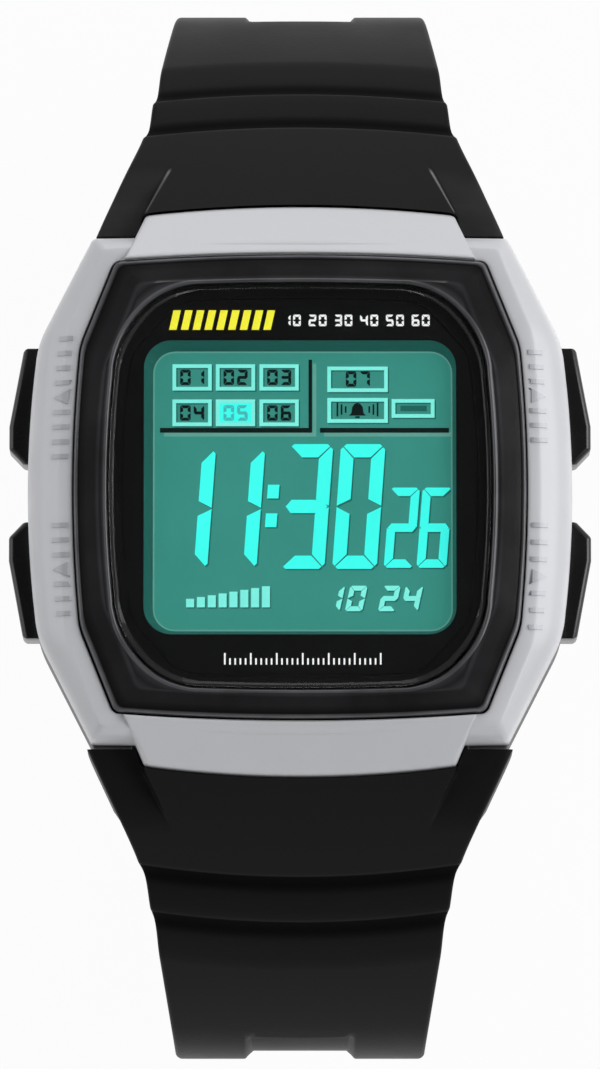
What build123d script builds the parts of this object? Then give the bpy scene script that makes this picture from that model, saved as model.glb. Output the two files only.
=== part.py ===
"""A digital wrist watch, unbuckled and standing on its curled strap.

The dial faces +Z, twelve o'clock is +Y and three o'clock is +X. Z is 0 where the long strap
rests. A value called ..._height is measured up from the underside of the case back.
"""

from math import asin, cos, degrees, radians, sin
import os

from build123d import *

# Display window, and the chain of widths that grows outward from it
window_width = 22.5
window_length = 21.4
window_corner_radius = 2.0
lens_side_border = 2.6
lens_end_border = 3.8
bezel_side_band = 2.55
bezel_end_band = 1.95
rail_side_width = 3.25
rail_end_width = 1.95

# Outlines of the lens, bezel and case: how far each draws in at its bends and its ends
lens_bend_inset = 0.75
lens_bend_setback = 3.7
lens_end_inset = 4.1
lens_crown = 0.25
lens_bend_radius = 2.6
lens_corner_radius = 2.6
bezel_bend_inset = 0.52
bezel_bend_setback = 6.15
bezel_end_inset = 2.98
bezel_crown = 0.5
bezel_bend_radius = 5.0
bezel_corner_radius = 0.7
case_bend_inset = 0.75
case_bend_setback = 7.65
case_end_inset = 4.65
case_crown = 0.1
case_bend_radius = 7.0
case_corner_radius = 0.5

# Heights and thicknesses of the case
case_back_thickness = 0.9
case_back_stand_out = 0.3
split_height = 5.6
rail_outer_height = 7.2
rail_inner_height = 8.8
rail_flat_width = 0.9
wall_top_height = 7.7
hood_inner_height = 9.5
hood_outer_height = 6.8
strap_lip_height = 6.6
wing_height = 6.1
turret_height = 8.0
lens_gasket_thickness = 0.25
lens_gasket_width = 0.9
lens_thickness = 1.3
lens_chamfer = 0.35
mask_thickness = 0.15
bezel_top_height = 9.7
bezel_edge_drop = 0.45
bezel_edge_slope = 1.2
bezel_inner_chamfer = 0.3

# Clearances and fits
part_gap = 0.15
cover_gap = 0.1
swing_gap = 0.25
running_gap = 0.05
seat_gap = 0.03
overrun = 1.0

# Cover details
cover_wall = 1.5
cover_edge_radius = 0.6
hood_outer_width = 22.3
hood_inner_width = 25.7
hood_start_inset = 0.5
hood_reach = 1.7
hood_crown = 0.7
hood_corner_radius = 1.2

# Cavity, and the module that fills it
cavity_side_wall = 4.9
cavity_end_wall = 3.4
cavity_corner_radius = 4.5
roof_thickness = 0.8
module_bottom_height = 1.65
frame_wall = 0.9
board_height = 3.8
board_thickness = 0.8
glass_side_overlap = 1.2
glass_end_overlap = 1.7
glass_thickness = 0.5
polarizer_thickness = 0.12
polarizer_inset = 0.5
zebra_width = 1.4
zebra_inset = 1.0
backlight_thickness = 0.9
roof_opening_margin = 0.5

# Parts on the circuit board
chip_size = 7.0
chip_corner_radius = 2.0
chip_height = 0.4
crystal_radius = 0.42
crystal_length = 5.0
edge_part_inset = 0.15
edge_part_y = 5.0
capacitor_length = 1.6
capacitor_width = 0.8
capacitor_height = 0.7
capacitor_pitch = 2.6
capacitor_count = 3
coil_radius = 0.75
coil_height = 0.45

# Battery, buzzer and insulator
battery_radius = 10.0
battery_thickness = 1.6
battery_lip = 0.25
battery_lip_width = 1.2
battery_setback = 11.6
contact_width = 3.0
contact_length = 9.0
clip_thickness = 0.2
clip_width = 5.0
clip_screw_reach = 11.6
clip_screw_radius = 0.5
clip_screw_head_radius = 0.9
clip_screw_head_height = 0.1
clip_screw_length = 1.6
buzzer_radius = 8.0
buzzer_thickness = 0.15
buzzer_setback = 10.0
ceramic_radius = 5.6
ceramic_thickness = 0.1
buzzer_spring_setback = 5.8
buzzer_spring_radius = 0.6
buzzer_spring_wire = 0.13
buzzer_spring_turns = 4
insulator_thickness = 0.1
insulator_margin = 0.6

# Case back, its screws and its gasket
back_margin = 1.5
back_corner_radius = 3.0
back_edge_chamfer = 0.2
screw_inset = 1.75
screw_radius = 0.55
screw_length = 3.2
screw_head_radius = 1.05
screw_head_height = 0.4
screw_slot_width = 0.3
screw_slot_depth = 0.2
gasket_inset = 0.3
gasket_width = 0.5
gasket_thickness = 0.55

# Push buttons
button_travel = 0.7
button_centre_y = 6.35
button_length = 8.5
button_height = 3.1
button_centre_height = 3.85
button_stand_out = 1.4
button_thin_stand_out = 0.35
button_face_start = 1.1
button_face_length = 1.7
button_edge_radius = 0.4
button_pocket_depth = 2.2
button_floor_gap = 0.9
stem_radius = 0.6
stem_grip = 0.8
stem_end_length = 0.3
stem_clip_radius = 1.15
stem_clip_thickness = 0.2
stem_clip_mouth = 0.9
clip_groove_depth = 0.15
clip_pocket_radius = 1.4
clip_pocket_depth = 1.2
seal_wire_radius = 0.12
seal_setback = 0.35
spring_pocket_radius = 1.35
spring_pocket_depth = 1.2
spring_coil_radius = 1.0
spring_wire_radius = 0.12
spring_turns = 3
wire_sides = 6

# Strap attachment
bar_radius = 0.75
bar_tip_radius = 0.45
bar_tip_length = 1.3
bar_height = 3.4
bar_setback = 0.6
lug_nose_radius = 2.1
lug_width = 24.2
ear_wall = 2.3
ear_tilt = 8.0
lip_gap = 0.5

# Strap
strap_thickness = 2.5
lip_angle = 32.0
knee_angle = 60.0
heel_angle = 42.0
upper_bend_radius = 47.5
knee_radius = 13.2
long_bend_radius = 23.0
short_bend_radius = 16.5
short_bend_angle = 105.0
short_straight = 14.0
long_straight = 46.0
ear_width = 2.8
kink_inset = 0.8
kink_reach = 5.4
kink_radius = 9.0
horizon_width = 18.4
short_end_width = 16.6
long_end_width = 16.0
tail_corner_radius = 6.0
wing_fade = 5.0
crease_inset = 1.65

# Strap grooves, channel and holes
groove_depth = 0.5
groove_width = 1.05
groove_bow = 1.0
groove_reaches = (6.6, 9.9)
channel_width = 8.2
channel_depth = 0.5
channel_start_angle = 68.0
hole_count = 7
hole_pitch = 6.0
hole_width = 2.3
hole_length = 3.4
tail_margin = 7.0

# Buckle and keeper
eye_radius = 1.75
buckle_bar_radius = 0.7
buckle_arm = 1.6
buckle_inner_length = 7.6
buckle_front_bar = 2.2
buckle_thickness = 1.9
buckle_heel = 1.6
buckle_corner_radius = 2.0
tongue_width = 2.0
tongue_thickness = 0.9
tongue_slot_gap = 0.25
tongue_overhang = 0.7
tongue_tip_radius = 0.8
keeper_length = 5.0
keeper_wall = 1.2
keeper_corner_radius = 0.8
keeper_rest = 5.9

os.makedirs("parts", exist_ok=True)


def write(builder, name):
    """Label a finished piece and write it under that name."""
    builder.part.label = name
    export_step(builder.part, f"parts/{name}.step")


# Half sizes, each one the last plus its band
lens_half_x = window_width / 2 + lens_side_border
lens_half_y = window_length / 2 + lens_end_border
bezel_half_x = lens_half_x + bezel_side_band
bezel_half_y = lens_half_y + bezel_end_band
case_half_x = bezel_half_x + rail_side_width
case_half_y = bezel_half_y + rail_end_width
cavity_half_x = case_half_x - cavity_side_wall
cavity_half_y = case_half_y - cavity_end_wall
battery_y = cavity_half_y - battery_setback
buzzer_y = buzzer_setback - cavity_half_y
buzzer_spring_y = buzzer_spring_setback - cavity_half_y
hood_corner_y = case_half_y + hood_reach
hood_end_y = hood_corner_y + hood_crown

# The strap's bends, which set how high the case stands
lip_y = hood_end_y + lip_gap
upper_centre_y = lip_y - upper_bend_radius * sin(radians(lip_angle))
knee_centre_y = upper_centre_y + (upper_bend_radius - knee_radius) * sin(radians(knee_angle))
horizon_y = knee_centre_y + knee_radius
knee_centre_z = long_bend_radius
upper_centre_z = knee_centre_z - (upper_bend_radius - knee_radius) * cos(radians(knee_angle))
back_z = upper_centre_z + upper_bend_radius * cos(radians(lip_angle)) - strap_lip_height
bar_y = hood_end_y - bar_setback
bar_z = back_z + bar_height


def at(height):
    """The level plane at a height above the underside of the case back."""
    return Plane.XY.offset(back_z + height)


def barrel(level, half, bend_inset, bend_setback, end_inset, crown, bend_radius, corner_radius):
    """A case-shaped outline: bowed sides, slanted corners and lightly bowed ends."""
    half_x, half_y = half
    bend_x = half_x - bend_inset
    bend_y = half_y - bend_setback
    end_x = half_x - end_inset
    with BuildSketch(level) as outline:
        with BuildLine():
            ThreePointArc((bend_x, -bend_y), (half_x, 0), (bend_x, bend_y))
            Line((bend_x, bend_y), (end_x, half_y))
            ThreePointArc((end_x, half_y), (0, half_y + crown), (-end_x, half_y))
            Line((-end_x, half_y), (-bend_x, bend_y))
            ThreePointArc((-bend_x, bend_y), (-half_x, 0), (-bend_x, -bend_y))
            Line((-bend_x, -bend_y), (-end_x, -half_y))
            ThreePointArc((-end_x, -half_y), (0, -half_y - crown), (end_x, -half_y))
            Line((end_x, -half_y), (bend_x, -bend_y))
        make_face()
        middle_y = (half_y + bend_y) / 2
        fillet(outline.vertices().filter_by(lambda v: abs(v.Y) < middle_y), bend_radius)
        corners = outline.vertices().filter_by(lambda v: abs(v.Y) > half_y - crown)
        fillet(corners, corner_radius)
    return outline.sketch


def lens_outline(height, inset):
    """The lens outline at a height, drawn in by an inset."""
    half = (lens_half_x - inset, lens_half_y - inset)
    return barrel(at(height), half, lens_bend_inset, lens_bend_setback, lens_end_inset, lens_crown,
                  lens_bend_radius, lens_corner_radius)


def bezel_outline(height, inset):
    """The bezel outline at a height, drawn in by an inset."""
    half = (bezel_half_x - inset, bezel_half_y - inset)
    return barrel(at(height), half, bezel_bend_inset, bezel_bend_setback, bezel_end_inset, bezel_crown,
                  bezel_bend_radius, bezel_corner_radius)


def case_outline(height, inset):
    """The case outline at a height, drawn in by an inset."""
    half = (case_half_x - inset, case_half_y - inset)
    return barrel(at(height), half, case_bend_inset, case_bend_setback, case_end_inset, case_crown,
                  case_bend_radius, case_corner_radius)


def rounded(height, half_x, half_y, corner_radius):
    """A level rounded rectangle at a height, given by its half sizes."""
    with BuildSketch(at(height)) as outline:
        RectangleRounded(2 * half_x, 2 * half_y, corner_radius)
    return outline.sketch


def cavity_outline(height, inset):
    """The outline of the space for the module, drawn in by an inset."""
    return rounded(height, cavity_half_x - inset, cavity_half_y - inset, cavity_corner_radius - inset)


# Levels of the stack between the case back and the lens
button_z = back_z + button_centre_height
back_inner_height = case_back_thickness
roof_height = turret_height - roof_thickness
mask_inset = lens_gasket_width + cover_gap + seat_gap
lens_bottom_height = turret_height + lens_gasket_thickness
front_glass_height = roof_height - seat_gap - polarizer_thickness - glass_thickness
back_glass_height = front_glass_height - glass_thickness
board_top_height = board_height + board_thickness
backlight_height = back_glass_height - seat_gap - backlight_thickness
glass_half_x = window_width / 2 + glass_side_overlap
glass_half_y = window_length / 2 + glass_end_overlap
back_glass_half_y = glass_half_y - zebra_width - seat_gap
frame_half_x = cavity_half_x - part_gap
frame_half_y = cavity_half_y - part_gap
bay_half_x = frame_half_x - frame_wall
bay_half_y = frame_half_y - frame_wall
opening_half_x = window_width / 2 + roof_opening_margin
opening_half_y = window_length / 2 + roof_opening_margin

# Case back outline and the places of its screws
back_half_x = cavity_half_x + back_margin
back_half_y = cavity_half_y + back_margin
screw_x = back_half_x - screw_inset
screw_y = back_half_y - screw_inset
screw_places = [(x, y) for x in (-screw_x, screw_x) for y in (-screw_y, screw_y)]

# Depths along the axis of a button at three o'clock
pocket_floor_x = case_half_x - button_pocket_depth
button_inner_x = pocket_floor_x + button_floor_gap
spring_seat_x = button_inner_x + spring_pocket_depth
stem_outer_x = spring_seat_x + stem_grip
clip_seat_x = cavity_half_x + clip_pocket_depth
stem_clip_x = clip_seat_x - seat_gap - stem_clip_thickness
stem_inner_x = stem_clip_x - stem_end_length
bore_radius = stem_radius + running_gap
seal_ring_radius = bore_radius - seal_wire_radius
seal_x = pocket_floor_x - seal_setback
button_sides = {"light_button": (1, 1), "set_button": (-1, 1),
                "mode_button": (-1, -1), "start_button": (1, -1)}


def along_x(x, y, z):
    """The plane square to the X axis, seen from three o'clock, at a point."""
    return Plane(origin=(x, y, z), x_dir=(0, 1, 0), z_dir=(1, 0, 0))


# Case body: the black middle of the case, which carries everything else
with BuildPart() as case_body:
    extrude(case_outline(case_back_stand_out, 0), amount=split_height - case_back_stand_out)
    extrude(case_outline(split_height, cover_wall + cover_gap), amount=wall_top_height - split_height)
    extrude(lens_outline(wall_top_height, cover_gap), amount=turret_height - wall_top_height)
    # Lugs under the hoods, each bored for a spring bar
    with BuildSketch(Plane.YZ) as lug:
        with Locations((bar_y, bar_z)):
            Circle(lug_nose_radius)
        with Locations((bar_y, bar_z)):
            Rectangle(bar_y - cavity_half_y, 2 * lug_nose_radius, align=(Align.MAX, Align.CENTER))
        mirror(about=Plane.YZ)
    extrude(amount=lug_width / 2, both=True)
    with BuildSketch(Plane.YZ) as lug_bores:
        with Locations((bar_y, bar_z), (-bar_y, bar_z)):
            Circle(bar_radius + running_gap)
    extrude(amount=lug_width, both=True, mode=Mode.SUBTRACT)
    # Space for the module, open at the back, with a window in its roof
    extrude(cavity_outline(case_back_stand_out, 0), amount=roof_height - case_back_stand_out,
            mode=Mode.SUBTRACT)
    extrude(rounded(roof_height, opening_half_x, opening_half_y, window_corner_radius),
            amount=roof_thickness, mode=Mode.SUBTRACT)
    # Recess for the case back, and the groove for its gasket
    extrude(rounded(case_back_stand_out, back_half_x + cover_gap, back_half_y + cover_gap,
                    back_corner_radius + cover_gap),
            amount=back_inner_height - case_back_stand_out, mode=Mode.SUBTRACT)
    extrude(cavity_outline(back_inner_height, -gasket_inset - gasket_width - seat_gap),
            amount=gasket_thickness, mode=Mode.SUBTRACT)
    with BuildSketch(at(back_inner_height)):
        with Locations(*screw_places):
            Circle(screw_radius)
    extrude(amount=screw_length, mode=Mode.SUBTRACT)
    # Pockets, spring seats and bores for the four buttons
    for side_x, side_y in button_sides.values():
        pocket = along_x(0, side_y * button_centre_y, button_z)
        with BuildSketch(pocket.offset(side_x * pocket_floor_x)):
            Rectangle(button_length + 2 * part_gap, button_height + 2 * part_gap)
        extrude(amount=side_x * case_half_x, mode=Mode.SUBTRACT)
        with BuildSketch(pocket.offset(side_x * (cavity_half_x - overrun))):
            Circle(clip_pocket_radius)
        extrude(amount=side_x * (clip_pocket_depth + overrun), mode=Mode.SUBTRACT)
        with BuildSketch(pocket.offset(side_x * clip_seat_x)):
            Circle(bore_radius)
        extrude(amount=side_x * (pocket_floor_x - clip_seat_x + overrun), mode=Mode.SUBTRACT)
write(case_body, "case_body")

# Hood: the raised end of the cover, which slopes down over the strap
hood_start_y = bezel_half_y - hood_start_inset


def hood_outline(height):
    """The plan outline of the hood over the twelve o'clock lug, at a height."""
    with BuildSketch(at(height)) as outline:
        with BuildLine():
            Polyline((hood_outer_width / 2, hood_corner_y), (hood_inner_width / 2, hood_start_y),
                     (-hood_inner_width / 2, hood_start_y), (-hood_outer_width / 2, hood_corner_y))
            ThreePointArc((-hood_outer_width / 2, hood_corner_y), (0, hood_end_y),
                          (hood_outer_width / 2, hood_corner_y))
        make_face()
        corners = outline.vertices().filter_by(lambda v: v.Y > case_half_y)
        fillet(corners, hood_corner_radius)
    return outline.sketch


with BuildPart() as hood:
    extrude(hood_outline(split_height), amount=hood_inner_height)
    with BuildSketch(Plane.YZ) as hood_side:
        with BuildLine():
            Polyline((hood_start_y, back_z + split_height),
                     (hood_end_y, back_z + split_height),
                     (hood_end_y, back_z + hood_outer_height),
                     (bezel_half_y, back_z + hood_inner_height),
                     (hood_start_y, back_z + hood_inner_height), close=True)
        make_face()
    extrude(amount=hood_inner_width, both=True, mode=Mode.INTERSECT)

# Cover: the silver shell with sloped rails beside the bezel and a hood at each end
with BuildPart() as bezel_cover:
    extrude(case_outline(split_height, 0), amount=rail_outer_height - split_height)
    loft([case_outline(rail_outer_height, 0).face(),
          bezel_outline(rail_inner_height, -rail_flat_width).face()], ruled=True)
    edge_z = back_z + rail_outer_height
    rail_edges = bezel_cover.edges().filter_by_position(Axis.Z, edge_z - seat_gap, edge_z + seat_gap)
    fillet(rail_edges, cover_edge_radius)
    add(hood.part)
    add(mirror(hood.part, about=Plane.XZ))
    extrude(case_outline(split_height, cover_wall), amount=wall_top_height + cover_gap - split_height,
            mode=Mode.SUBTRACT)
    extrude(bezel_outline(wall_top_height, 0), amount=hood_inner_height, mode=Mode.SUBTRACT)
write(bezel_cover, "bezel_cover")

# Bezel ring: the black frame round the lens, sloped on its outer band
bezel_edge_height = bezel_top_height - bezel_edge_drop
with BuildPart() as bezel_ring:
    extrude(bezel_outline(wall_top_height, cover_gap), amount=bezel_edge_height - wall_top_height)
    loft([bezel_outline(bezel_edge_height, cover_gap).face(),
          bezel_outline(bezel_top_height, bezel_edge_slope).face()], ruled=True)
    extrude(lens_outline(wall_top_height, 0), amount=bezel_top_height - wall_top_height,
            mode=Mode.SUBTRACT)
    inner_rim = bezel_ring.faces().sort_by(Axis.Z)[-1].inner_wires()[0].edges()
    chamfer(inner_rim, bezel_inner_chamfer)
write(bezel_ring, "bezel_ring")

# Lens: the clear window, with a polished edge
with BuildPart() as lens:
    extrude(lens_outline(lens_bottom_height, cover_gap), amount=lens_thickness)
    chamfer(lens.faces().sort_by(Axis.Z)[-1].edges(), lens_chamfer)
write(lens, "lens")

# Gasket that the lens is pressed on to
with BuildPart() as lens_gasket:
    extrude(lens_outline(turret_height, cover_gap), amount=lens_gasket_thickness)
    extrude(lens_outline(turret_height, cover_gap + lens_gasket_width), amount=lens_gasket_thickness,
            mode=Mode.SUBTRACT)
write(lens_gasket, "lens_gasket")

# Dial mask: the printed black card behind the lens, cut out round the display
with BuildPart() as dial_mask:
    extrude(lens_outline(turret_height, mask_inset), amount=mask_thickness)
    extrude(rounded(turret_height, window_width / 2, window_length / 2, window_corner_radius),
            amount=mask_thickness, mode=Mode.SUBTRACT)
write(dial_mask, "dial_mask")

# Display: two bonded glasses, a polarizing film, rubber contacts and the light behind
with BuildPart() as lcd_front_glass:
    with BuildSketch(at(front_glass_height)):
        Rectangle(2 * glass_half_x, 2 * glass_half_y)
    extrude(amount=glass_thickness)
write(lcd_front_glass, "lcd_front_glass")

with BuildPart() as lcd_back_glass:
    with BuildSketch(at(back_glass_height)):
        Rectangle(2 * glass_half_x, 2 * back_glass_half_y)
    extrude(amount=glass_thickness)
write(lcd_back_glass, "lcd_back_glass")

with BuildPart() as lcd_polarizer:
    with BuildSketch(at(front_glass_height + glass_thickness)):
        Rectangle(2 * (glass_half_x - polarizer_inset), 2 * (glass_half_y - polarizer_inset))
    extrude(amount=polarizer_thickness)
write(lcd_polarizer, "lcd_polarizer")

zebra_y = glass_half_y - zebra_width / 2
with BuildPart() as contact_strips:
    with BuildSketch(at(board_top_height)):
        with Locations((0, zebra_y), (0, -zebra_y)):
            Rectangle(2 * (glass_half_x - zebra_inset), zebra_width)
    extrude(amount=front_glass_height - board_top_height)
write(contact_strips, "lcd_contact_strips")

with BuildPart() as backlight_panel:
    with BuildSketch(at(backlight_height)):
        Rectangle(2 * (glass_half_x - seat_gap), 2 * (back_glass_half_y - seat_gap))
    extrude(amount=backlight_thickness)
write(backlight_panel, "backlight_panel")

# Module frame: the tray that holds the battery below the board and the display above it
with BuildPart() as module_frame:
    extrude(cavity_outline(module_bottom_height, part_gap),
            amount=roof_height - seat_gap - module_bottom_height)
    with BuildSketch(at(board_height)):
        RectangleRounded(2 * bay_half_x, 2 * bay_half_y, cavity_corner_radius - part_gap - frame_wall)
    extrude(amount=roof_height - board_height, mode=Mode.SUBTRACT)
    with BuildSketch(at(module_bottom_height)):
        with Locations((0, battery_y)):
            Circle(battery_radius + running_gap)
        with Locations((0, buzzer_spring_y)):
            Circle(buzzer_spring_radius + part_gap)
    extrude(amount=board_height - module_bottom_height, mode=Mode.SUBTRACT)
    with BuildSketch(at(module_bottom_height)):
        with Locations((-clip_screw_reach, battery_y), (clip_screw_reach, battery_y)):
            Circle(clip_screw_radius)
    extrude(amount=clip_screw_length, mode=Mode.SUBTRACT)
    # Notches that let the button clips and stems travel
    for side_x, side_y in button_sides.values():
        notch = along_x(side_x * cavity_half_x, side_y * button_centre_y, button_z)
        with BuildSketch(notch):
            Circle(clip_pocket_radius)
        extrude(amount=-side_x * (button_travel + part_gap), mode=Mode.SUBTRACT)
write(module_frame, "module_frame")

with BuildPart() as circuit_board:
    with BuildSketch(at(board_height)):
        RectangleRounded(2 * (bay_half_x - seat_gap), 2 * (bay_half_y - seat_gap),
                         cavity_corner_radius - part_gap - frame_wall)
    extrude(amount=board_thickness)
write(circuit_board, "circuit_board")

with BuildPart() as chip_cover:
    with BuildSketch(at(board_top_height)):
        RectangleRounded(chip_size, chip_size, chip_corner_radius)
    extrude(amount=chip_height)
    chamfer(chip_cover.faces().sort_by(Axis.Z)[-1].edges(), chip_height / 2)
write(chip_cover, "chip_cover")

# Parts on the board beside the display
edge_part_x = bay_half_x - edge_part_inset
with BuildPart() as quartz_crystal:
    with BuildSketch(Plane.XZ.offset(-edge_part_y)):
        with Locations((edge_part_x - crystal_radius, back_z + board_top_height + crystal_radius)):
            Circle(crystal_radius)
    extrude(amount=crystal_length)
write(quartz_crystal, "quartz_crystal")

with BuildPart() as chip_capacitors:
    with BuildSketch(at(board_top_height)):
        with Locations((-edge_part_x + capacitor_width / 2, edge_part_y)):
            with GridLocations(0, capacitor_pitch, 1, capacitor_count):
                Rectangle(capacitor_width, capacitor_length)
    extrude(amount=capacitor_height)
write(chip_capacitors, "chip_capacitors")

with BuildPart() as buzzer_coil:
    with BuildSketch(at(board_top_height)):
        with Locations((-edge_part_x + coil_radius, -edge_part_y)):
            Circle(coil_radius)
    extrude(amount=coil_height)
write(buzzer_coil, "buzzer_coil")

# Battery, with the contact above it and the clip that holds it from below
battery_top_height = module_bottom_height + battery_thickness
with BuildPart() as battery:
    with BuildSketch(at(module_bottom_height)):
        with Locations((0, battery_y)):
            Circle(battery_radius)
    extrude(amount=battery_thickness - battery_lip)
    with BuildSketch(at(battery_top_height - battery_lip)):
        with Locations((0, battery_y)):
            Circle(battery_radius - battery_lip_width)
    extrude(amount=battery_lip)
write(battery, "battery")

contact_top = back_z + board_height
contact_low = back_z + battery_top_height
with BuildPart() as battery_contact:
    with BuildSketch(Plane.XZ.offset(-battery_y)):
        with BuildLine():
            Polyline((-contact_length / 2, contact_top), (0, contact_top),
                     (contact_length / 2, contact_low + clip_thickness),
                     (contact_length / 2, contact_low),
                     (0, contact_top - clip_thickness),
                     (-contact_length / 2, contact_top - clip_thickness), close=True)
        make_face()
    extrude(amount=contact_width / 2, both=True)
write(battery_contact, "battery_contact")

clip_height = module_bottom_height - clip_thickness
with BuildPart() as battery_clip:
    with BuildSketch(at(clip_height)):
        with Locations((0, battery_y)):
            SlotOverall(2 * clip_screw_reach + clip_width, clip_width)
        with Locations((-clip_screw_reach, battery_y), (clip_screw_reach, battery_y)):
            Circle(clip_screw_radius + running_gap, mode=Mode.SUBTRACT)
    extrude(amount=clip_thickness)
write(battery_clip, "battery_clip")

with BuildPart() as clip_screws:
    with BuildSketch(at(clip_height - clip_screw_head_height)):
        with Locations((-clip_screw_reach, battery_y), (clip_screw_reach, battery_y)):
            Circle(clip_screw_head_radius)
    extrude(amount=clip_screw_head_height)
    with BuildSketch(at(clip_height)):
        with Locations((-clip_screw_reach, battery_y), (clip_screw_reach, battery_y)):
            Circle(clip_screw_radius)
    extrude(amount=clip_thickness + clip_screw_length)
write(clip_screws, "battery_clip_screws")


def coil_spring(base, coil_radius, wire_radius, turns, length):
    """A compression spring standing on a plane; its round wire is drawn with a few flat sides."""
    rise = length - 2 * wire_radius
    with BuildPart() as spring:
        with BuildLine():
            turns_path = Helix(pitch=rise / turns, height=rise, radius=coil_radius,
                               center=base.offset(wire_radius).origin, direction=base.z_dir)
        with BuildSketch(Plane(origin=turns_path @ 0, z_dir=turns_path % 0)):
            RegularPolygon(wire_radius, wire_sides)
        sweep()
    return spring


# Buzzer: a brass plate with a ceramic disc on the case back, fed by a small spring
with BuildPart() as buzzer_plate:
    with BuildSketch(at(back_inner_height)):
        with Locations((0, buzzer_y)):
            Circle(buzzer_radius)
    extrude(amount=buzzer_thickness)
write(buzzer_plate, "buzzer_plate")

ceramic_height = back_inner_height + buzzer_thickness
with BuildPart() as buzzer_ceramic:
    with BuildSketch(at(ceramic_height)):
        with Locations((0, buzzer_y)):
            Circle(ceramic_radius)
    extrude(amount=ceramic_thickness)
write(buzzer_ceramic, "buzzer_ceramic")

spring_base_height = ceramic_height + ceramic_thickness
spring_base = Plane(origin=(0, buzzer_spring_y, back_z + spring_base_height), z_dir=(0, 0, 1))
buzzer_spring = coil_spring(spring_base, buzzer_spring_radius - buzzer_spring_wire, buzzer_spring_wire,
                            buzzer_spring_turns, board_height - spring_base_height)
write(buzzer_spring, "buzzer_spring")

insulator_height = clip_height - clip_screw_head_height - insulator_thickness
with BuildPart() as insulator_sheet:
    extrude(cavity_outline(insulator_height, insulator_margin), amount=insulator_thickness)
    with BuildSketch(at(insulator_height)):
        with Locations((0, buzzer_spring_y)):
            Circle(buzzer_spring_radius + part_gap)
    extrude(amount=insulator_thickness, mode=Mode.SUBTRACT)
write(insulator_sheet, "insulator_sheet")

# Case back, with its gasket and four screws
with BuildPart() as case_back:
    extrude(rounded(0, back_half_x, back_half_y, back_corner_radius), amount=case_back_thickness)
    chamfer(case_back.faces().sort_by(Axis.Z)[0].edges(), back_edge_chamfer)
    with BuildSketch(at(0)):
        with Locations(*screw_places):
            Circle(screw_head_radius + running_gap)
    extrude(amount=screw_head_height + seat_gap, mode=Mode.SUBTRACT)
    with BuildSketch(at(0)):
        with Locations(*screw_places):
            Circle(screw_radius + running_gap)
    extrude(amount=case_back_thickness, mode=Mode.SUBTRACT)
write(case_back, "case_back")

with BuildPart() as back_gasket:
    extrude(cavity_outline(back_inner_height, -gasket_inset - gasket_width), amount=gasket_thickness)
    extrude(cavity_outline(back_inner_height, -gasket_inset), amount=gasket_thickness, mode=Mode.SUBTRACT)
write(back_gasket, "back_gasket")

with BuildPart() as case_back_screws:
    with BuildSketch(at(seat_gap)):
        with Locations(*screw_places):
            Circle(screw_head_radius)
    extrude(amount=screw_head_height)
    with BuildSketch(at(seat_gap + screw_head_height)):
        with Locations(*screw_places):
            Circle(screw_radius)
    extrude(amount=screw_length)
    with BuildSketch(at(seat_gap)):
        with Locations(*screw_places):
            Rectangle(2 * screw_head_radius, screw_slot_width)
    extrude(amount=screw_slot_depth, mode=Mode.SUBTRACT)
write(case_back_screws, "case_back_screws")

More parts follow.
